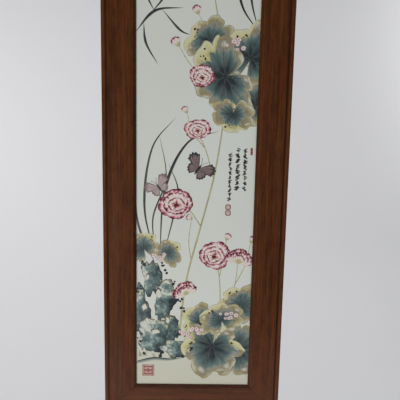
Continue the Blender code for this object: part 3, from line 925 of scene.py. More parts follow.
def turned_rim(painting, paint, at, start, end, depth, radius, seed):
    """A stretch of a leaf's rim turned over, pale, with an olive edge and dark worm holes.

    Between two angles, at s along it and u across it, the point lies on the leaf at t = 1.03 - depth *
    sin(pi s)^0.6 * u * (1 + noise), so both its ends run out to nothing.
    """
    s = np.linspace(0, 1, 60)[:, None]
    u = np.linspace(0, 1, 12)[None, :]
    swell = np.sin(math.pi * np.clip(s, 0.002, 0.998)) ** 0.6
    ragged = 1 + 0.30 * cloud(s * 6, 0.5, 0.8, seed + 8) + 0.16 * cloud(s * 6, 0.5, 0.22, seed + 9)
    t = 1.03 - depth * swell * ragged * u
    across, height = at(t, start + (end - start) * s)
    blotch = cloud(across, height, 7.0, seed + 10)
    fine = cloud(s * 30, u * 0.6, 0.7, seed + 11)
    colour = ramp(
        u + 0.28 * blotch + 0.14 * fine, (0.0, mixed(0.55, paint.straw, paint.bare)), (0.55, paint.straw),
        (0.95, mixed(0.45, paint.olive, paint.straw)))
    edge = np.maximum(rising(u + 0 * s, 0.90, 1.0), rising(1 - u + 0 * s, 0.94, 1.0))
    colour = mixed(edge * 0.75, colour, mixed(0.5, paint.olive, paint.deep_teal))
    ground = painting.level
    painting.film(across, height, colour, flow=np.stack([s * 60 + 0 * u, u * 12 + 0 * s], axis=-1), rise=0.3)
    random = np.random.default_rng(seed + 12)
    for _ in range(int(abs(end - start) * radius / 14)):
        share = random.uniform(0.15, 0.85)
        inner = 1.0 - depth * math.sin(math.pi * share) ** 0.6 * random.uniform(0.25, 1.0)
        spot = at(np.array(inner), np.array(start + (end - start) * share))
        dot(painting, spot, random.uniform(0.7, 1.9), paint.ink, seed + 7, ring=paint.umber, rise=0.05)
    painting.level = ground + 0.6


def dot(painting, place, radius, colour, seed, ring=None, rise=0.0):
    """A round touch of the brush: radius * t * (1 + noise) all round."""
    t, phi = disc_grid(4, 16)
    reach = radius * t * (1 + 0.35 * cloud(np.cos(phi) + place[0], np.sin(phi) + place[1], 0.8, seed))
    painted = np.asarray(colour) if ring is None else mixed(rising(t + 0 * phi, 0.6, 1.0), colour, ring)
    across, height = place[0] + reach * np.cos(phi), place[1] + reach * np.sin(phi)
    painting.film(across, height, painted, disc=True, rise=rise)


def boulder(painting, paint, place, size, turn, seed, shade):
    """One lump of a garden rock.

    Its outline is an oval times 1 + noise of two sizes. Its wash runs from lights left bare at the
    upper left over teal to a dark foot, with ochre where it is worn, inside a rim of changing width.
    """
    s, phi = disc_grid(30, 180)
    t = 1 - (1 - s) ** 1.3
    round_x, round_y = np.cos(phi), np.sin(phi)
    ragged = 1 + 0.30 * cloud(round_x, round_y, 0.55, seed) + 0.13 * cloud(round_x, round_y, 0.2, seed + 1)
    across, height = laid(t * ragged * round_x * size[1], t * ragged * round_y * size[0], place, turn)
    blotch = cloud(across, height, 12.0, seed + 2)
    fine = cloud(across * 0.5 + height, height * 0.35 - across, 3.2, seed + 3)
    lit = 0.50 + 0.42 * t * (round_x * 0.8 - round_y * 0.75) + 0.36 * blotch + 0.20 * fine - shade
    colour = ramp(lit, (0.0, paint.deep_teal), (0.30, mixed(0.55, paint.deep_teal, paint.teal)),
                  (0.52, paint.teal), (0.74, paint.pale_teal), (0.98, paint.bare))
    worn = rising(0.55 * t + 0.40 * blotch + 0.30 * round_x * t + 0.12 * fine, 0.50, 0.88)
    earth = ramp(fine, (-0.6, paint.umber), (0.0, paint.ochre), (0.6, paint.straw))
    colour = mixed(worn * 0.85, colour, earth)
    width = 0.05 + 0.04 * cloud(round_x, round_y, 0.35, seed + 4)
    rim = rising(t + 0 * phi, 1 - 2.0 * width, 1 - 0.7 * width)
    colour = mixed(rim * (0.75 - 0.3 * blotch), colour, mixed(0.7, paint.ink, paint.deep_teal))
    cover = 1 - 0.8 * rising(lit, 0.70, 1.05) * (1 - rim)
    flow = np.stack([height * 0.6 + across, across - height * 0.3], axis=-1)
    painting.film(across, height, colour, cover, flow, disc=True)


def hollow(painting, paint, place, size, turn, seed):
    """A hole worn through the rock: bare inside, with a dark upper lip."""
    t, phi = disc_grid(10, 60)
    round_x, round_y = np.cos(phi), np.sin(phi)
    ragged = 1 + 0.35 * cloud(round_x, round_y, 0.5, seed) + 0.12 * cloud(round_x, round_y, 0.2, seed + 1)
    across, height = laid(t * ragged * round_x * size[1], t * ragged * round_y * size[0], place, turn)
    dark = rising(t + 0.35 * round_x * t + 0.1 * cloud(across, height, 3.0, seed), 0.55, 0.98)
    colour = mixed(dark * 0.92, paint.bare, mixed(0.5, paint.ink, paint.deep_teal))
    painting.film(across, height, colour, disc=True, rise=0)


def petal(painting, paint, root, turn, length, width, squash, seed, heart, strength, rise=1.0):
    """One petal, nearly white, with a crimson tip that fades inwards and fine dark edges.

    A grid of a across and b along, both from -1 to 1, is rounded to an oval by u = a (1 - 0.47 b^2)^0.5
    and v = (1 + b (1 - 0.47 a^2)^0.5) / 2. The point lies length * (v - a dent at the tip + a ripple) out
    and width / 2 * u * (0.5 + 0.5 smooth(v / 0.75)) aside.
    """
    fine = length > 6
    b = np.linspace(-1, 1, 19 if fine else 9)[:, None]
    a = np.linspace(-1, 1, 17 if fine else 9)[None, :]
    u = a * np.sqrt(1 - 0.47 * b**2)
    v = 0.5 + 0.5 * b * np.sqrt(1 - 0.47 * a**2)
    dent = 0.06 * np.exp(-((u / 0.22) ** 2)) * v**6
    ripple = 0.035 * v**3 * cloud(u, 0.3, 0.5, seed)
    along = length * (v - dent + ripple)
    aside = width / 2 * u * (0.5 + 0.5 * smooth(v / 0.75)) * (1.06 + 0.07 * cloud(v, 0.2, 0.3, seed + 2))
    across, height = laid(along, aside, root, turn)
    height = root[1] + (height - root[1]) * squash
    brushed = cloud(u, v * 0.25, 0.13, seed + 1)
    tip = rising(v + 0.16 * brushed + 0.10 * u**2 - 0.06, 0.54, 0.98) ** 1.2 * strength
    base = heart * rising(1 - v + 0.14 * brushed, 0.35, 0.9)
    amount = np.clip(tip + base, 0, 1.2)
    colour = ramp(amount, (0.0, mixed(0.5, paint.blush, paint.bare)), (0.18, paint.blush), (0.48, paint.rose),
                  (0.82, paint.crimson))
    line = np.clip(1 - 7 * np.abs(((u * 3.1 + 0.5) % 1) - 0.5), 0, 1) * rising(v, 0.1, 0.5)
    colour = mixed(line * 0.16, colour, paint.crimson)
    edge = rising(np.maximum(np.abs(a), np.abs(b)), 0.90, 1.0)
    colour = mixed(edge * 0.50, colour, mixed(0.5, paint.crimson, paint.ink))
    painting.film(across, height, colour, flow=np.stack([along, aside], axis=-1), rise=rise)


def blossom(painting, paint, place, size, turn, seed, squash):
    """A full flower: rings of petals from the outermost in, set a little lower each, and stamens."""
    random = np.random.default_rng(seed)
    start = painting.level
    rings = ((6, 1.0, 0.94, 0.0, 1.0), (5, 0.70, 0.80, 0.2, 1.0), (4, 0.42, 0.60, 0.9, 1.1))
    for depth, (count, reach, wide, heart, strength) in enumerate(rings):
        offset = random.uniform(0, 360 / count)
        root = (place[0], place[1] - 0.05 * size * depth)
        for number in range(count):
            angle = turn + offset + number * 360 / count + random.uniform(-8, 8)
            petal(painting, paint, root, angle, size * reach * random.uniform(0.88, 1.1),
                  size * wide * random.uniform(0.9, 1.12), squash, seed + number * 13 + count, heart,
                  strength * random.uniform(0.75, 1.15), 0.5)
    painting.level += 0.5
    for number in range(9):
        angle = math.radians(number * 40 + random.uniform(-12, 12))
        out = 0.17 * size
        end = (place[0] + out * math.cos(angle), place[1] - 0.15 * size + out * squash * math.sin(angle))
        dot(painting, end, 0.02 * size + 0.3, mixed(0.25, paint.straw, paint.ochre), seed + number)
    painting.level = start


def half_open(painting, paint, place, size, turn, seed):
    """A flower seen from its side: a fan of petals behind, two cups before them and a green calyx."""
    random = np.random.default_rng(seed)
    start = painting.level
    fans = (((-66, 62, -42, 38, -14, 12), 1.0, 0.62, 0.0), ((-44, 42, -18, 16), 0.78, 0.60, 0.1),
            ((-24, 26, 0), 0.56, 0.56, 0.2))
    for leans, reach, wide, heart in fans:
        for number, lean in enumerate(leans):
            angle = turn + lean + random.uniform(-4, 4)
            length = size * reach * random.uniform(0.92, 1.08)
            petal(painting, paint, place, angle, length, size * wide, 1.0,
                  seed + number * 11 + int(100 * reach), heart, random.uniform(0.9, 1.15), 0.5)
    tint = mixed(0.45, paint.straw, paint.olive)
    calyx(painting, place, turn, (-58, 54, -24, 22, 0), 0.34 * size, size * 0.13, tint, 0.5)
    painting.level = start


def calyx(painting, place, turn, leans, reach, width, tint, rise=1.0):
    """Green tips from a flower's foot, each leaning from the flower's axis by its own angle."""
    for lean in leans:
        heading = math.radians(turn + lean)
        tip = (place[0] - reach * math.sin(heading), place[1] + reach * math.cos(heading))
        stroke(painting, curve([place, tip], 10), width, tapered(0.25, 0.6), tint, columns=3, rise=rise)


def bud(painting, paint, place, size, turn, seed):
    """A closed bud: three petals folded over each other in a green calyx."""
    start = painting.level
    for lean, share in ((-15, 0.9), (14, 0.95), (0, 1.0)):
        petal(painting, paint, place, turn + lean, size * share, size * 0.60, 1.0, seed + lean, 0.1, 1.05)
    tint = mixed(0.55, paint.straw, paint.olive)
    calyx(painting, place, turn, (-34, 32, -8), 0.5 * size, size * 0.17, tint)
    painting.level = start


def spray(painting, paint, place, spread, count, seed):
    """A cluster of little five-petalled flowers, each with a dark dot in its middle."""
    random = np.random.default_rng(seed)
    start = painting.level
    for number in range(count):
        angle, out = random.uniform(0, 2 * math.pi), math.sqrt((number + 0.5) / count)
        centre = (place[0] + spread[0] * out * math.cos(angle), place[1] + spread[1] * out * math.sin(angle))
        painting.level = start + 2 * (number % 3)
        size = random.uniform(3.2, 5.0)
        for part in range(5):
            petal(painting, paint, centre, part * 72 + random.uniform(-12, 12), size, size * 0.85,
                  random.uniform(0.75, 1.0), seed + number * 7 + part, 0.25, random.uniform(0.3, 1.0), 0.15)
        dot(painting, centre, 0.9, mixed(0.4, paint.crimson, paint.ink), seed + number)
    painting.level = start


def stem(painting, paint, places, width, seed):
    """A stalk: pale along its lit side, olive along the other, with dark prickles.

    It thins evenly to the share STALK_END of its width.
    """
    path = curve(places, 20 * len(places))

    def colour(s, u):
        side = 0.5 + 0.5 * u + 0.4 * cloud(s * 30, u, 0.6, seed)
        return mixed(np.maximum(side, rising(np.abs(u), 0.7, 1.0)), paint.straw, paint.olive)

    stroke(painting, path, width, lambda s: (1 - (1 - STALK_END) * s) * even(0.02, 0.02)(s), colour)
    random = np.random.default_rng(seed)
    for number in range(int(len(path) / 5)):
        spot = path[random.integers(len(path))] + random.uniform(-0.4, 0.4, 2) * width
        dot(painting, spot, random.uniform(0.3, 0.55), paint.umber, seed + number)


def blade(painting, paint, places, width, seed):
    """A long leaf laid in one sweep of the brush: ink on one side of its fold, thin grey on the other."""
    path = curve(places, 46)

    def colour(s, u):
        load = 0.15 + 0.5 * u + 0.35 * cloud(s * 6, u, 0.7, seed)
        thin = mixed(0.25 * rising(s, 0.6, 1.0), mixed(0.25, paint.grey, paint.ink), paint.olive)
        return mixed(load, mixed(0.15, paint.ink, paint.deep_teal), thin)

    stroke(painting, path, width, tapered(0.45, 0.6, 0.8), colour, columns=7)


def grass(painting, paint, place, random):
    """A short blade of grass through three places drawn by chance."""
    foot = np.array(place) + (random.uniform(-7, 7), random.uniform(-1, 1))
    tip = foot + (random.uniform(-6, 6), random.uniform(7, 14))
    middle = (foot + tip) / 2 + (random.uniform(-1.5, 1.5), 0)
    tint = mixed(random.random(), paint.olive, paint.grey)
    stroke(painting, curve([foot, middle, tip], 9), 0.8, tapered(0.2, 0.8), tint, columns=3)


def wing(painting, root, turn, length, width, pale, dark, seed, blunt):
    """A butterfly's wing: a fan with a dark scalloped margin, fine radial veins and a row of spots.

    At v out and u across, it lies length * v (1 - 0.25 u^2) out and width / 2 * u * v^blunt aside.
    """
    v = np.linspace(0.02, 1, 18)[:, None]
    u = np.linspace(-1, 1, 21)[None, :]
    scallop = 0.05 * v**5 * np.cos(u * math.pi * 4)
    along = length * (v * (1 - 0.25 * u**2) + scallop)
    aside = width / 2 * u * v**blunt
    across, height = laid(along, aside, root, turn)
    brushed = cloud(u, v * 0.4, 0.14, seed)
    rim = np.maximum(rising(v + 0.07 * brushed, 0.72, 0.90), rising(np.abs(u) + 0.05 * brushed, 0.80, 0.96))
    vein = np.clip(1 - 5 * np.abs(((u * 2.5 + 0.5) % 1) - 0.5), 0, 1)
    spots = np.exp(-(((v - 0.84) / 0.045) ** 2)) * np.clip(np.cos(u * math.pi * 5), 0, 1) ** 2
    colour = mixed(0.5 + 0.5 * brushed - 0.5 * v, pale, mixed(0.5, pale, dark))
    colour = mixed(np.maximum(rim, vein * 0.7), colour, dark)
    colour = mixed(spots * 0.9, colour, pale)
    painting.film(across, height, colour, flow=np.stack([along, aside], -1))


def butterfly(painting, paint, place, size, turn, pale, dark, seed):
    """Four wings, a body and two feelers."""
    for hand in (-1, 1):
        wing(painting, place, turn + hand * 118, size * 0.34, size * 0.36, pale, dark, seed + 5, 0.6)
        wing(painting, place, turn + hand * 58, size * 0.54, size * 0.40, pale, dark, seed, 0.75)
    body = laid(np.array([-0.22, 0.0, 0.17]) * size, np.array([0.01, 0.0, 0.0]) * size, place, turn)
    path = curve(np.stack(body, 1), 16)
    stroke(painting, path, size * 0.075, tapered(0.3, 0.35, 0.6), mixed(0.8, dark, paint.ink))
    for hand in (-1, 1):
        out, aside = np.array([0.15, 0.26, 0.34]) * size, np.array([0.01, 0.05, 0.11]) * size * hand
        path = curve(np.stack(laid(out, aside, place, turn), 1), 14)
        stroke(painting, path, 0.55, even(), paint.ink, columns=3)
        dot(painting, path[-1], 0.6, paint.ink, seed)


def brush_sign(painting, place, size, colour, random):
    """One sign of brush strokes that is no letter.

    Three to five loose dashes lie one under another, all leaning one way, each pressed down at its start.
    """
    count = int(random.integers(3, 6))
    slope = random.choice([-0.5, 0.35, 0.6])
    for number in range(count):
        level = 0.31 - 0.62 * number / (count - 1) + random.uniform(-0.02, 0.02)
        middle = np.array([random.uniform(-0.12, 0.12), level])
        reach = np.array([1.0, slope]) * random.choice([0.20, 0.34, 0.46]) * random.uniform(0.85, 1.1)
        path = np.stack([middle - reach, middle + (0, random.uniform(-0.02, 0.05)), middle + reach])
        stroke(painting, curve(path * size + np.array(place), 10), random.uniform(0.22, 0.30) * size,
               tapered(0.12, 0.6, 0.4), colour, columns=3, rise=0.3)


def seal_marks(painting, place, size, count, lines, width, colour, random):
    """A block of little strokes that says nothing: each cell's lean one way, its neighbours' the other."""
    cell = size / count
    for row in range(count):
        for column in range(count):
            centre = np.array(place) + (np.array([column, row]) - (count - 1) / 2) * cell
            lean = 0.5 if (row + column) % 2 else -0.5
            for share in np.linspace(-0.26, 0.26, lines):
                run = np.linspace(-1, 1, 4) * random.uniform(0.22, 0.36)
                path = np.stack([share + run * lean, run], axis=1) * cell + centre
                stroke(painting, curve(path, 8), width, even(), colour, columns=3, rise=0)


def frame_box(painting, place, size, width, colour):
    """A hand-cut square of four strokes."""
    corners = np.array([(-size, -size), (size, -size), (size, size), (-size, size), (-size, -size)]) / 2
    for start, end in zip(corners[:-1], corners[1:]):
        path = curve([place + start * 1.02, place + end * 1.02], 9)
        stroke(painting, path, width, even(0.03, 0.03), colour, columns=3)


def filled_seal(painting, paint, place, random):
    """A square of red with a light frame and hatching in it.

    The square's edge lies half its side / max(|cos phi|, |sin phi|) out, times 1 + noise.
    """
    t, phi = disc_grid(8, 64)
    square = 10.5 / np.maximum(np.abs(np.cos(phi)), np.abs(np.sin(phi)))
    reach = t * square * (1 + 0.03 * cloud(np.cos(phi), np.sin(phi), 0.3, 640))
    across, height = place[0] + reach * np.cos(phi), place[1] + reach * np.sin(phi)
    painting.film(across, height, paint.seal, 0.92, disc=True)
    light = mixed(0.6, paint.seal, SEAL_LIGHT)
    frame_box(painting, place, 17.5, 0.8, light)
    seal_marks(painting, place, 15.0, 2, 3, 0.9, light, random)


class DressFrame(bpy.types.Operator):
    """Puts the four mitred members, the board's finish and the brass in place."""

    bl_idname = "plaque.dress_frame"
    bl_label = "Hardwood frame"

    def execute(self, context):
        sizes = context.scene.plaque_frame
        wood = hardwood_finish(sizes)
        for number, place in enumerate(member_places()):
            made = mitred_member(number, place, sizes, wood)
            if place[0] == "rail_top":
                cut_recesses(made)
            shade_round(made, sharp_degrees=32)
        metal, board = brass_finish(sizes), board_finish(sizes)
        for name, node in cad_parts.items():
            if name.startswith(("keyhole_plate", "plate_screw", "board_screw")):
                refinish(node, metal)
        refinish(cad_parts["back_board"], board)
        return {"FINISHED"}


def refinish(node, finish):
    """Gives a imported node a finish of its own."""
    for slot in node.material_slots:
        slot.material = finish.material


def cut_recesses(rail):
    """The bed and the pocket behind each keyhole plate."""
    half = (PLATE_HIGH.x - PLATE_LOW.x) / 2
    centre = (PLATE_HIGH.x + PLATE_LOW.x) / 2
    depth = PLATE_HIGH.y - PLATE_LOW.y + SEAT_GAP
    for hand in (-1, 1):
        recess(rail, hand * centre, half + SEAT_GAP, PLATE_LOW.z - SEAT_GAP, PLATE_HIGH.z + SEAT_GAP,
               PLATE_CORNER, depth)
        recess(rail, hand * centre, *POCKET)


class GlazeSlab(bpy.types.Operator):
    """Glazes the porcelain slab."""

    bl_idname = "plaque.glaze_slab"
    bl_label = "Glazed porcelain"

    def execute(self, context):
        refinish(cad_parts["porcelain_slab"], glaze_finish(context.scene.plaque_glaze))
        return {"FINISHED"}


class PaintRock(bpy.types.Operator):
    """Paints the garden rock, its moss and the ground under it."""

    bl_idname = "plaque.paint_rock"
    bl_label = "Garden rock"

    def execute(self, context):
        paint = context.scene.plaque_paint
        painting = Painting(ROCK_LEVEL)
        ground = curve([(-101, 40), (-70, 47), (-40, 46), (-4, 54)], 40)
        wash = mixed(0.4, paint.teal, paint.grey)
        stroke(painting, ground, 7, tapered(0.1, 0.9), wash, lambda s, u: 0.75 - 0.6 * u)
        stroke(painting, ground + (0, 3), 2.2, tapered(0.3, 0.8), mixed(0.6, paint.ink, paint.deep_teal))
        for place, size, turn, shade, seed in (
            ((-74, 196), (17, 34), 8, 0.08, 101), ((-50, 160), (20, 34), -16, 0.0, 102),
            ((-92, 130), (20, 44), 4, 0.05, 103), ((-40, 108), (19, 28), 24, 0.08, 104),
            ((-68, 92), (27, 34), -6, -0.06, 105), ((-30, 66), (25, 16), -10, 0.02, 106)):
            boulder(painting, paint, place, size, turn, seed, shade)
        for place, size, turn, seed in (
            ((-62, 172), (5, 8.5), 14, 111), ((-86, 146), (5, 8), -8, 112), ((-45, 122), (4, 7), 18, 113),
            ((-66, 100), (8, 5.5), 6, 114), ((-80, 200), (3, 6), -10, 115)):
            hollow(painting, paint, place, size, turn, seed)
        moss = painting.level + 1
        random = np.random.default_rng(120)
        for place in ((-56, 224), (-48, 208), (-92, 180), (-24, 156), (-18, 140), (-14, 96), (-6, 80),
                      (-2, 68), (-34, 190), (-98, 176), (-54, 56), (-88, 62), (-94, 84), (-90, 224)):
            for number in range(3):
                painting.level = moss + 0.3 * number
                spot = np.array(place) + random.uniform(-4.5, 4.5, 2)
                radius = random.uniform(1.2, 3.2)
                tint = mixed(random.uniform(0, 0.3), paint.ink, paint.deep_teal)
                dot(painting, spot, radius, tint, int(random.integers(1000)), ring=paint.deep_teal)
        finish = enamel_finish(
            "rock_enamel", context.scene.plaque_glaze, grain=0.8, strength=0.30, roughness=0.16)
        painting.show("painted_rock", finish)
        return {"FINISHED"}


class PaintLeaves(bpy.types.Operator):
    """Paints the lobed leaves, low at the right, high at the right and behind the rock."""

    bl_idname = "plaque.paint_leaves"
    bl_label = "Leaves"

    def execute(self, context):
        paint, glaze = context.scene.plaque_paint, context.scene.plaque_glaze
        finish = enamel_finish("leaf_enamel", glaze, grain=1.0, strength=0.38, roughness=0.14)
        groups = {
            "painted_leaves_low": (
                ((84, 150), 46, -24, (1.0, 0.85), 201, 0.12, 0.2, ((20, 110, 0.34),)),
                ((14, 118), 44, 58, (1.0, 0.8), 202, 0.05, 0.1, ((-30, 60, 0.40),)),
                ((76, 66), 62, -100, (0.95, 1.0), 203, 0.0, 0.15, ((80, 150, 0.30),)),
                ((34, 74), 66, 158, (1.0, 0.9), 204, -0.05, 0.1, ((-110, -40, 0.36), (96, 138, 0.30))),
                ((50, 122), 44, 14, (1.1, 0.75), 205, 0.16, 0.25, ((-20, 50, 0.38),))),
            "painted_leaves_high": (
                ((98, 496), 50, 26, (1.0, 0.9), 211, 0.1, 0.2, ((60, 130, 0.34),)),
                ((20, 596), 46, 44, (1.0, 0.8), 212, 0.08, 0.15, ((-10, 60, 0.38),)),
                ((86, 570), 60, -20, (0.95, 1.0), 213, -0.02, 0.1, ((10, 84, 0.34),)),
                ((46, 540), 68, 112, (1.05, 0.85), 214, -0.04, 0.15, ((-94, -26, 0.40), (30, 96, 0.30))),
                ((60, 480), 42, 172, (1.0, 0.8), 215, 0.14, 0.2, ((-40, 40, 0.40),)),
                ((-2, 696), 42, 150, (1.0, 0.8), 216, 0.05, 0.2, ((-60, 10, 0.36),))),
            "painted_leaves_rock": (
                ((-88, 250), 36, 30, (1.0, 0.8), 221, 0.1, 0.2, ((-80, -20, 0.40),)),
                ((-46, 242), 30, -50, (1.0, 0.8), 222, 0.12, 0.15, ((-30, 40, 0.40),))),
        }
        for name, leaves in groups.items():
            painting = Painting(LEAF_LEVEL)
            for place, radius, turn, squash, seed, pale, droop, folds in leaves:
                lobed_leaf(painting, paint, place, radius, turn, squash, seed, pale, droop, folds)
            painting.show(name, finish)
        return {"FINISHED"}


class PaintStems(bpy.types.Operator):
    """Paints the stalks and the long blades of grass."""

    bl_idname = "plaque.paint_stems"
    bl_label = "Stalks and blades"

    def execute(self, context):
        paint, glaze = context.scene.plaque_paint, context.scene.plaque_glaze
        painting = Painting()
        for number, (places, width) in enumerate((
            (((-24, 96), (-14, 190), (10, 290), (30, 372), (42, 450), (50, 540), (36, 610), (17.5, 703)),
             3.2),
            (((10, 290), (-8, 316), (-22, 326)), 2.0), (((30, 372), (16, 420), (2, 448)), 1.8),
            (((34, 60), (46, 130), (44, 200), (34, 236)), 2.3), (((50, 120), (70, 180), (76, 228)), 1.8),
            (((50, 540), (76, 556), (100, 560)), 2.3),
            (((47, 500), (20, 530), (-10, 556), (-32, 588.5)), 1.8),
            (((44, 580), (22, 600), (-1, 638.5)), 1.6), (((44, 200), (50, 232), (55, 268.5)), 1.6),
            (((70, 184), (88, 222), (97.3, 264.5)), 1.6), (((-5, 228), (-10, 262), (-6, 303)), 1.5),
            (((14, 424), (-6, 448), (-17.2, 482.5)), 1.5))):
            painting.level = STALK_LEVEL + number % 3
            stem(painting, paint, places, width, 300 + number)
        finish = enamel_finish("stalk_enamel", glaze, grain=1.0, strength=0.25, roughness=0.14)
        painting.show("painted_stalks", finish)
        painting = Painting()
        for number, (places, width) in enumerate((
            (((-64, 226), (-86, 320), (-74, 420), (-34, 474)), 4.6),
            (((-60, 224), (-52, 350), (-16, 430), (38, 452)), 5.4),
            (((-66, 220), (-96, 290), (-104, 372)), 4.2),
            (((-58, 220), (-34, 318), (-30, 356), (-46, 396)), 3.8),
            (((-62, 224), (-72, 300), (-50, 372), (-62, 446)), 3.2),
            (((-102, 606), (-70, 640), (-24, 646)), 5.0), (((-76, 636), (-52, 668), (-44, 712)), 4.2),
            (((-58, 642), (-30, 612), (-12, 604)), 4.0),
            (((-88, 622), (-84, 590), (-64, 556)), 4.4), (((-70, 638), (-86, 672), (-92, 720)), 4.0),
            (((98, 610), (70, 650), (62, 700), (74, 742)), 4.6), (((96, 616), (84, 668), (96, 724)), 3.8),
            (((64, 690), (30, 722), (-12, 734)), 4.2))):
            painting.level = BLADE_LEVEL + number % 4
            blade(painting, paint, places, width, 330 + number)
        random = np.random.default_rng(350)
        for place, count in (((-88, 52), 9), ((-66, 50), 8), ((-36, 48), 7), ((2, 50), 8), ((22, 44), 6)):
            for _ in range(count):
                painting.level = GRASS_LEVEL
                grass(painting, paint, place, random)
        finish = enamel_finish("blade_enamel", glaze, grain=1.2, strength=0.45, roughness=0.22)
        painting.show("painted_blades", finish)
        return {"FINISHED"}


class PaintBlossoms(bpy.types.Operator):
    """Paints the double flowers, from the front and from the side, their buds and the little clusters."""

    bl_idname = "plaque.paint_blossoms"
    bl_label = "Blossoms"

    def execute(self, context):
        paint, glaze = context.scene.plaque_paint, context.scene.plaque_glaze
        finish = enamel_finish("petal_enamel", glaze, grain=1.3, strength=0.16, roughness=0.12)
        painting = Painting(FLOWER_LEVEL)
        for place, size, turn, seed, squash in (
            ((-32, 330), 32, 20, 401, 0.86), ((34, 240), 29, 70, 402, 0.9), ((2, 454), 22, 10, 403, 0.8),
            ((8, 540), 23, 0, 405, 0.8)):
            blossom(painting, paint, place, size, turn, seed, squash)
        painting.level = SIDE_FLOWER_LEVEL
        for place, size, turn, seed in (((76, 226), 27, -12, 404), ((-12, 168), 24, 28, 406)):
            half_open(painting, paint, place, size, turn, seed)
        painting.level = FLOWER_LEVEL
        for place, size, turn, seed in (
            ((-30, 586), 18, 36, 421), ((0, 636), 16, 20, 422), ((18, 700), 17, 10, 423),
            ((96, 262), 14, -30, 424), ((54, 266), 14, -25, 425), ((-4, 302), 13, 60, 426),
            ((-16, 480), 13, 30, 427)):
            bud(painting, paint, place, size, turn, seed)
        painting.show("painted_blossoms", finish)
        painting = Painting(FLOWER_LEVEL)
        for place, spread, count, seed in (
            ((-4, 100), (20, 12), 12, 441), ((62, 132), (15, 9), 8, 442), ((60, 590), (16, 10), 8, 443),
            ((-62, 236), (12, 8), 6, 444)):
            spray(painting, paint, place, spread, count, seed)
        painting.show("painted_clusters", finish)
        return {"FINISHED"}


class PaintButterflies(bpy.types.Operator):
    """Paints the two butterflies."""

    bl_idname = "plaque.paint_butterflies"
    bl_label = "Butterflies"

    def execute(self, context):
        paint, glaze = context.scene.plaque_paint, context.scene.plaque_glaze
        painting = Painting(WING_LEVEL)
        butterfly(painting, paint, (4, 388), 54, -38, paint.plum, paint.ink, 501)
        painting.level = WING_LEVEL
        butterfly(painting, paint, (-62, 356), 46, 34, mixed(0.4, paint.plum, paint.blush),
                  mixed(0.35, paint.plum, paint.ink), 502)
        finish = enamel_finish("wing_enamel", glaze, grain=1.3, strength=0.30, roughness=0.2)
        painting.show("painted_butterflies", finish)
        return {"FINISHED"}


class PaintWriting(bpy.types.Operator):
    """Paints the columns of brush signs, which say nothing, and the red seals."""

    bl_idname = "plaque.paint_writing"
    bl_label = "Writing and seals"

    def execute(self, context):
        paint, glaze = context.scene.plaque_paint, context.scene.plaque_glaze
        random = np.random.default_rng(600)
        painting = Painting()
        for across, top, count, pitch, size in (
            (83, 420, 8, 9.2, 9.0), (70.5, 421, 8, 9.2, 8.8), (58, 412, 11, 7.4, 7.0)):
            for number in range(count):
                painting.level = WRITING_LEVEL
                place = (across + random.uniform(-0.6, 0.6), top - number * pitch)
                brush_sign(painting, place, size * random.uniform(0.85, 1.08), paint.ink, random)
        finish = enamel_finish("writing_enamel", glaze, grain=1.4, strength=0.2, roughness=0.3)
        painting.show("painted_writing", finish)
        painting = Painting(WRITING_LEVEL)
        for place in ((56, 324), (56, 314)):
            frame_box(painting, np.array(place), 7.5, 1.7, paint.seal)
            seal_marks(painting, place, 6.0, 2, 3, 0.5, paint.seal, random)
        for number in range(4):
            low = 422.5 - 2.9 * number
            path = curve([(90.8, low + 0.6), (93.0, low + 0.9), (95.2, low)], 9)
            stroke(painting, path, 3.2, tapered(0.3, 0.4, 0.4), paint.seal)
        filled_seal(painting, paint, np.array((-79, 26)), random)
        finish = enamel_finish("seal_enamel", glaze, grain=1.6, strength=0.5, roughness=0.3)
        painting.show("painted_seals", finish)
        return {"FINISHED"}


class SetStage(bpy.types.Operator):
    """Sets the backdrop, the lights and the camera."""

    bl_idname = "plaque.set_stage"
    bl_label = "Stage"

    def execute(self, context):
        stage = context.scene.plaque_stage
        sweep(stage)
        lights(stage)
        place_camera()
        context.scene.view_settings.view_transform = "Standard"
        return {"FINISHED"}


def sweep(stage):
    """A cloth that runs from the floor up the wall in one bend.

    Its section is the floor, a quarter circle and the wall, carried across.
    """
    far, low, bend, reach = stage.wall_distance, CENTRE_Z - stage.floor_drop, 0.8, 4.0
    turn = np.linspace(0, math.pi / 2, 24)
    depth = np.concatenate([[-reach], far - bend + bend * np.sin(turn), [far]])
    height = np.concatenate([[low], low + bend - bend * np.cos(turn), [low + 2 * reach]])
    rows = len(depth)
    across = np.repeat([-reach, reach], rows)
    points = np.stack([across, np.tile(depth, 2), np.tile(height, 2)], axis=1)
    mesh = bpy.data.meshes.new("backdrop")
    mesh.from_pydata(points.tolist(), [], patch_faces(2, rows, False)[:, ::-1].tolist())
    mesh.shade_smooth()
    cloth = bpy.data.objects.new("backdrop", mesh)
    bpy.context.scene.collection.objects.link(cloth)
    finish = Finish("pale_cloth", roughness=0.9)
    finish.set("Base Color", stage.backdrop)
    mesh.materials.append(finish.material)


def lamp(name, place, target, size, power, colour):
    """A soft square light that faces a point."""
    light = bpy.data.lights.new(name, "AREA")
    light.energy = power
    light.size = size
    light.color = colour
    made = bpy.data.objects.new(name, light)
    made.location = place
    made.rotation_euler = (Vector(target) - Vector(place)).to_track_quat("-Z", "Y").to_euler()
    made.visible_camera = False
    bpy.context.scene.collection.objects.link(made)


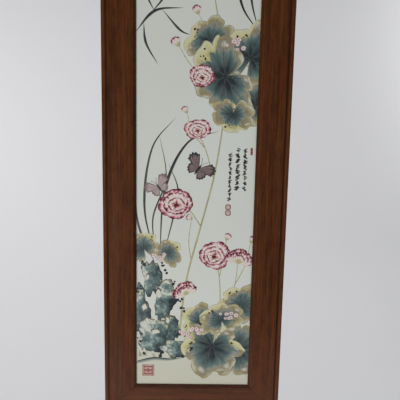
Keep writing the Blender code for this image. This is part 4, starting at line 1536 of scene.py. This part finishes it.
def lights(stage):
    """A large soft light low at the left, a weaker one at the right and an even sky."""
    centre = (0, 0, CENTRE_Z)
    lamp("key", (-1.0, -1.45, CENTRE_Z - 0.50), centre, 1.0, stage.key_power, (1.0, 0.985, 0.96))
    lamp("fill", (1.5, -1.5, CENTRE_Z - 0.25), centre, 1.4, stage.fill_power, (0.95, 0.97, 1.0))
    lamp("rear", (1.7, 1.2, CENTRE_Z + 0.6), centre, 1.2, stage.rear_power, (1.0, 1.0, 1.0))
    lamp("cloth", (-1.7, 0.5, CENTRE_Z + 0.2), (-0.5, stage.wall_distance, CENTRE_Z), 1.2, stage.cloth_power,
         (1.0, 1.0, 1.0))
    world = bpy.data.worlds.new("even_sky")
    world.use_nodes = True
    back = world.node_tree.nodes["Background"]
    back.inputs["Color"].default_value = (0.97, 0.98, 1.0, 1.0)
    back.inputs["Strength"].default_value = stage.sky
    bpy.context.scene.world = world


def place_camera():
    """The camera in front of the plaque, looking a little down, at the photograph's angle."""
    camera = bpy.data.cameras.new("camera")
    camera.lens = CAMERA_FOCAL / PICTURE_SIZE * camera.sensor_width
    yaw, pitch, roll = (math.radians(angle) for angle in CAMERA_TURN)
    ahead = Vector((math.sin(yaw) * math.cos(pitch), math.cos(yaw) * math.cos(pitch), math.sin(pitch)))
    right = Vector((math.cos(yaw), -math.sin(yaw), 0))
    up = right.cross(ahead)
    turned_right = right * math.cos(roll) + up * math.sin(roll)
    turned_up = up * math.cos(roll) - right * math.sin(roll)
    made = bpy.data.objects.new("camera", camera)
    made.matrix_world = Matrix((turned_right, turned_up, -ahead)).transposed().to_4x4()
    made.location = CAMERA_PLACE
    bpy.context.scene.collection.objects.link(made)
    bpy.context.scene.camera = made


class PlaquePanel(bpy.types.Panel):
    """Lists the pieces and their settings in the sidebar."""

    bl_idname = "VIEW3D_PT_plaque"
    bl_label = "Porcelain plaque"
    bl_space_type = "VIEW_3D"
    bl_region_type = "UI"
    bl_category = "Plaque"

    def draw(self, context):
        for operator in OPERATORS:
            self.layout.operator(operator.bl_idname)
        for word in SETTINGS:
            group = getattr(context.scene, word)
            box = self.layout.box()
            for name in group.__annotations__:
                box.prop(group, name)


SETTINGS = {
    "plaque_frame": FrameSettings, "plaque_glaze": GlazeSettings,
    "plaque_paint": PaintSettings, "plaque_stage": StageSettings}
OPERATORS = (SetStage, DressFrame, GlazeSlab, PaintRock, PaintStems, PaintLeaves, PaintBlossoms,
             PaintButterflies, PaintWriting)


def register():
    """Registers the settings, the operators and the panel."""
    for word, group in SETTINGS.items():
        bpy.utils.register_class(group)
        setattr(bpy.types.Scene, word, bpy.props.PointerProperty(type=group))
    for part in (*OPERATORS, PlaquePanel):
        bpy.utils.register_class(part)


def unregister():
    """Takes them away again."""
    for part in (PlaquePanel, *reversed(OPERATORS)):
        bpy.utils.unregister_class(part)
    for word, group in SETTINGS.items():
        delattr(bpy.types.Scene, word)
        bpy.utils.unregister_class(group)


def main():
    """Makes the whole look."""
    register()
    bpy.ops.plaque.set_stage()
    bpy.ops.plaque.dress_frame()
    bpy.ops.plaque.glaze_slab()
    bpy.ops.plaque.paint_rock()
    bpy.ops.plaque.paint_stems()
    bpy.ops.plaque.paint_leaves()
    bpy.ops.plaque.paint_blossoms()
    bpy.ops.plaque.paint_butterflies()
    bpy.ops.plaque.paint_writing()
    bpy.context.view_layer.update()


if __name__ == "__main__":
    main()
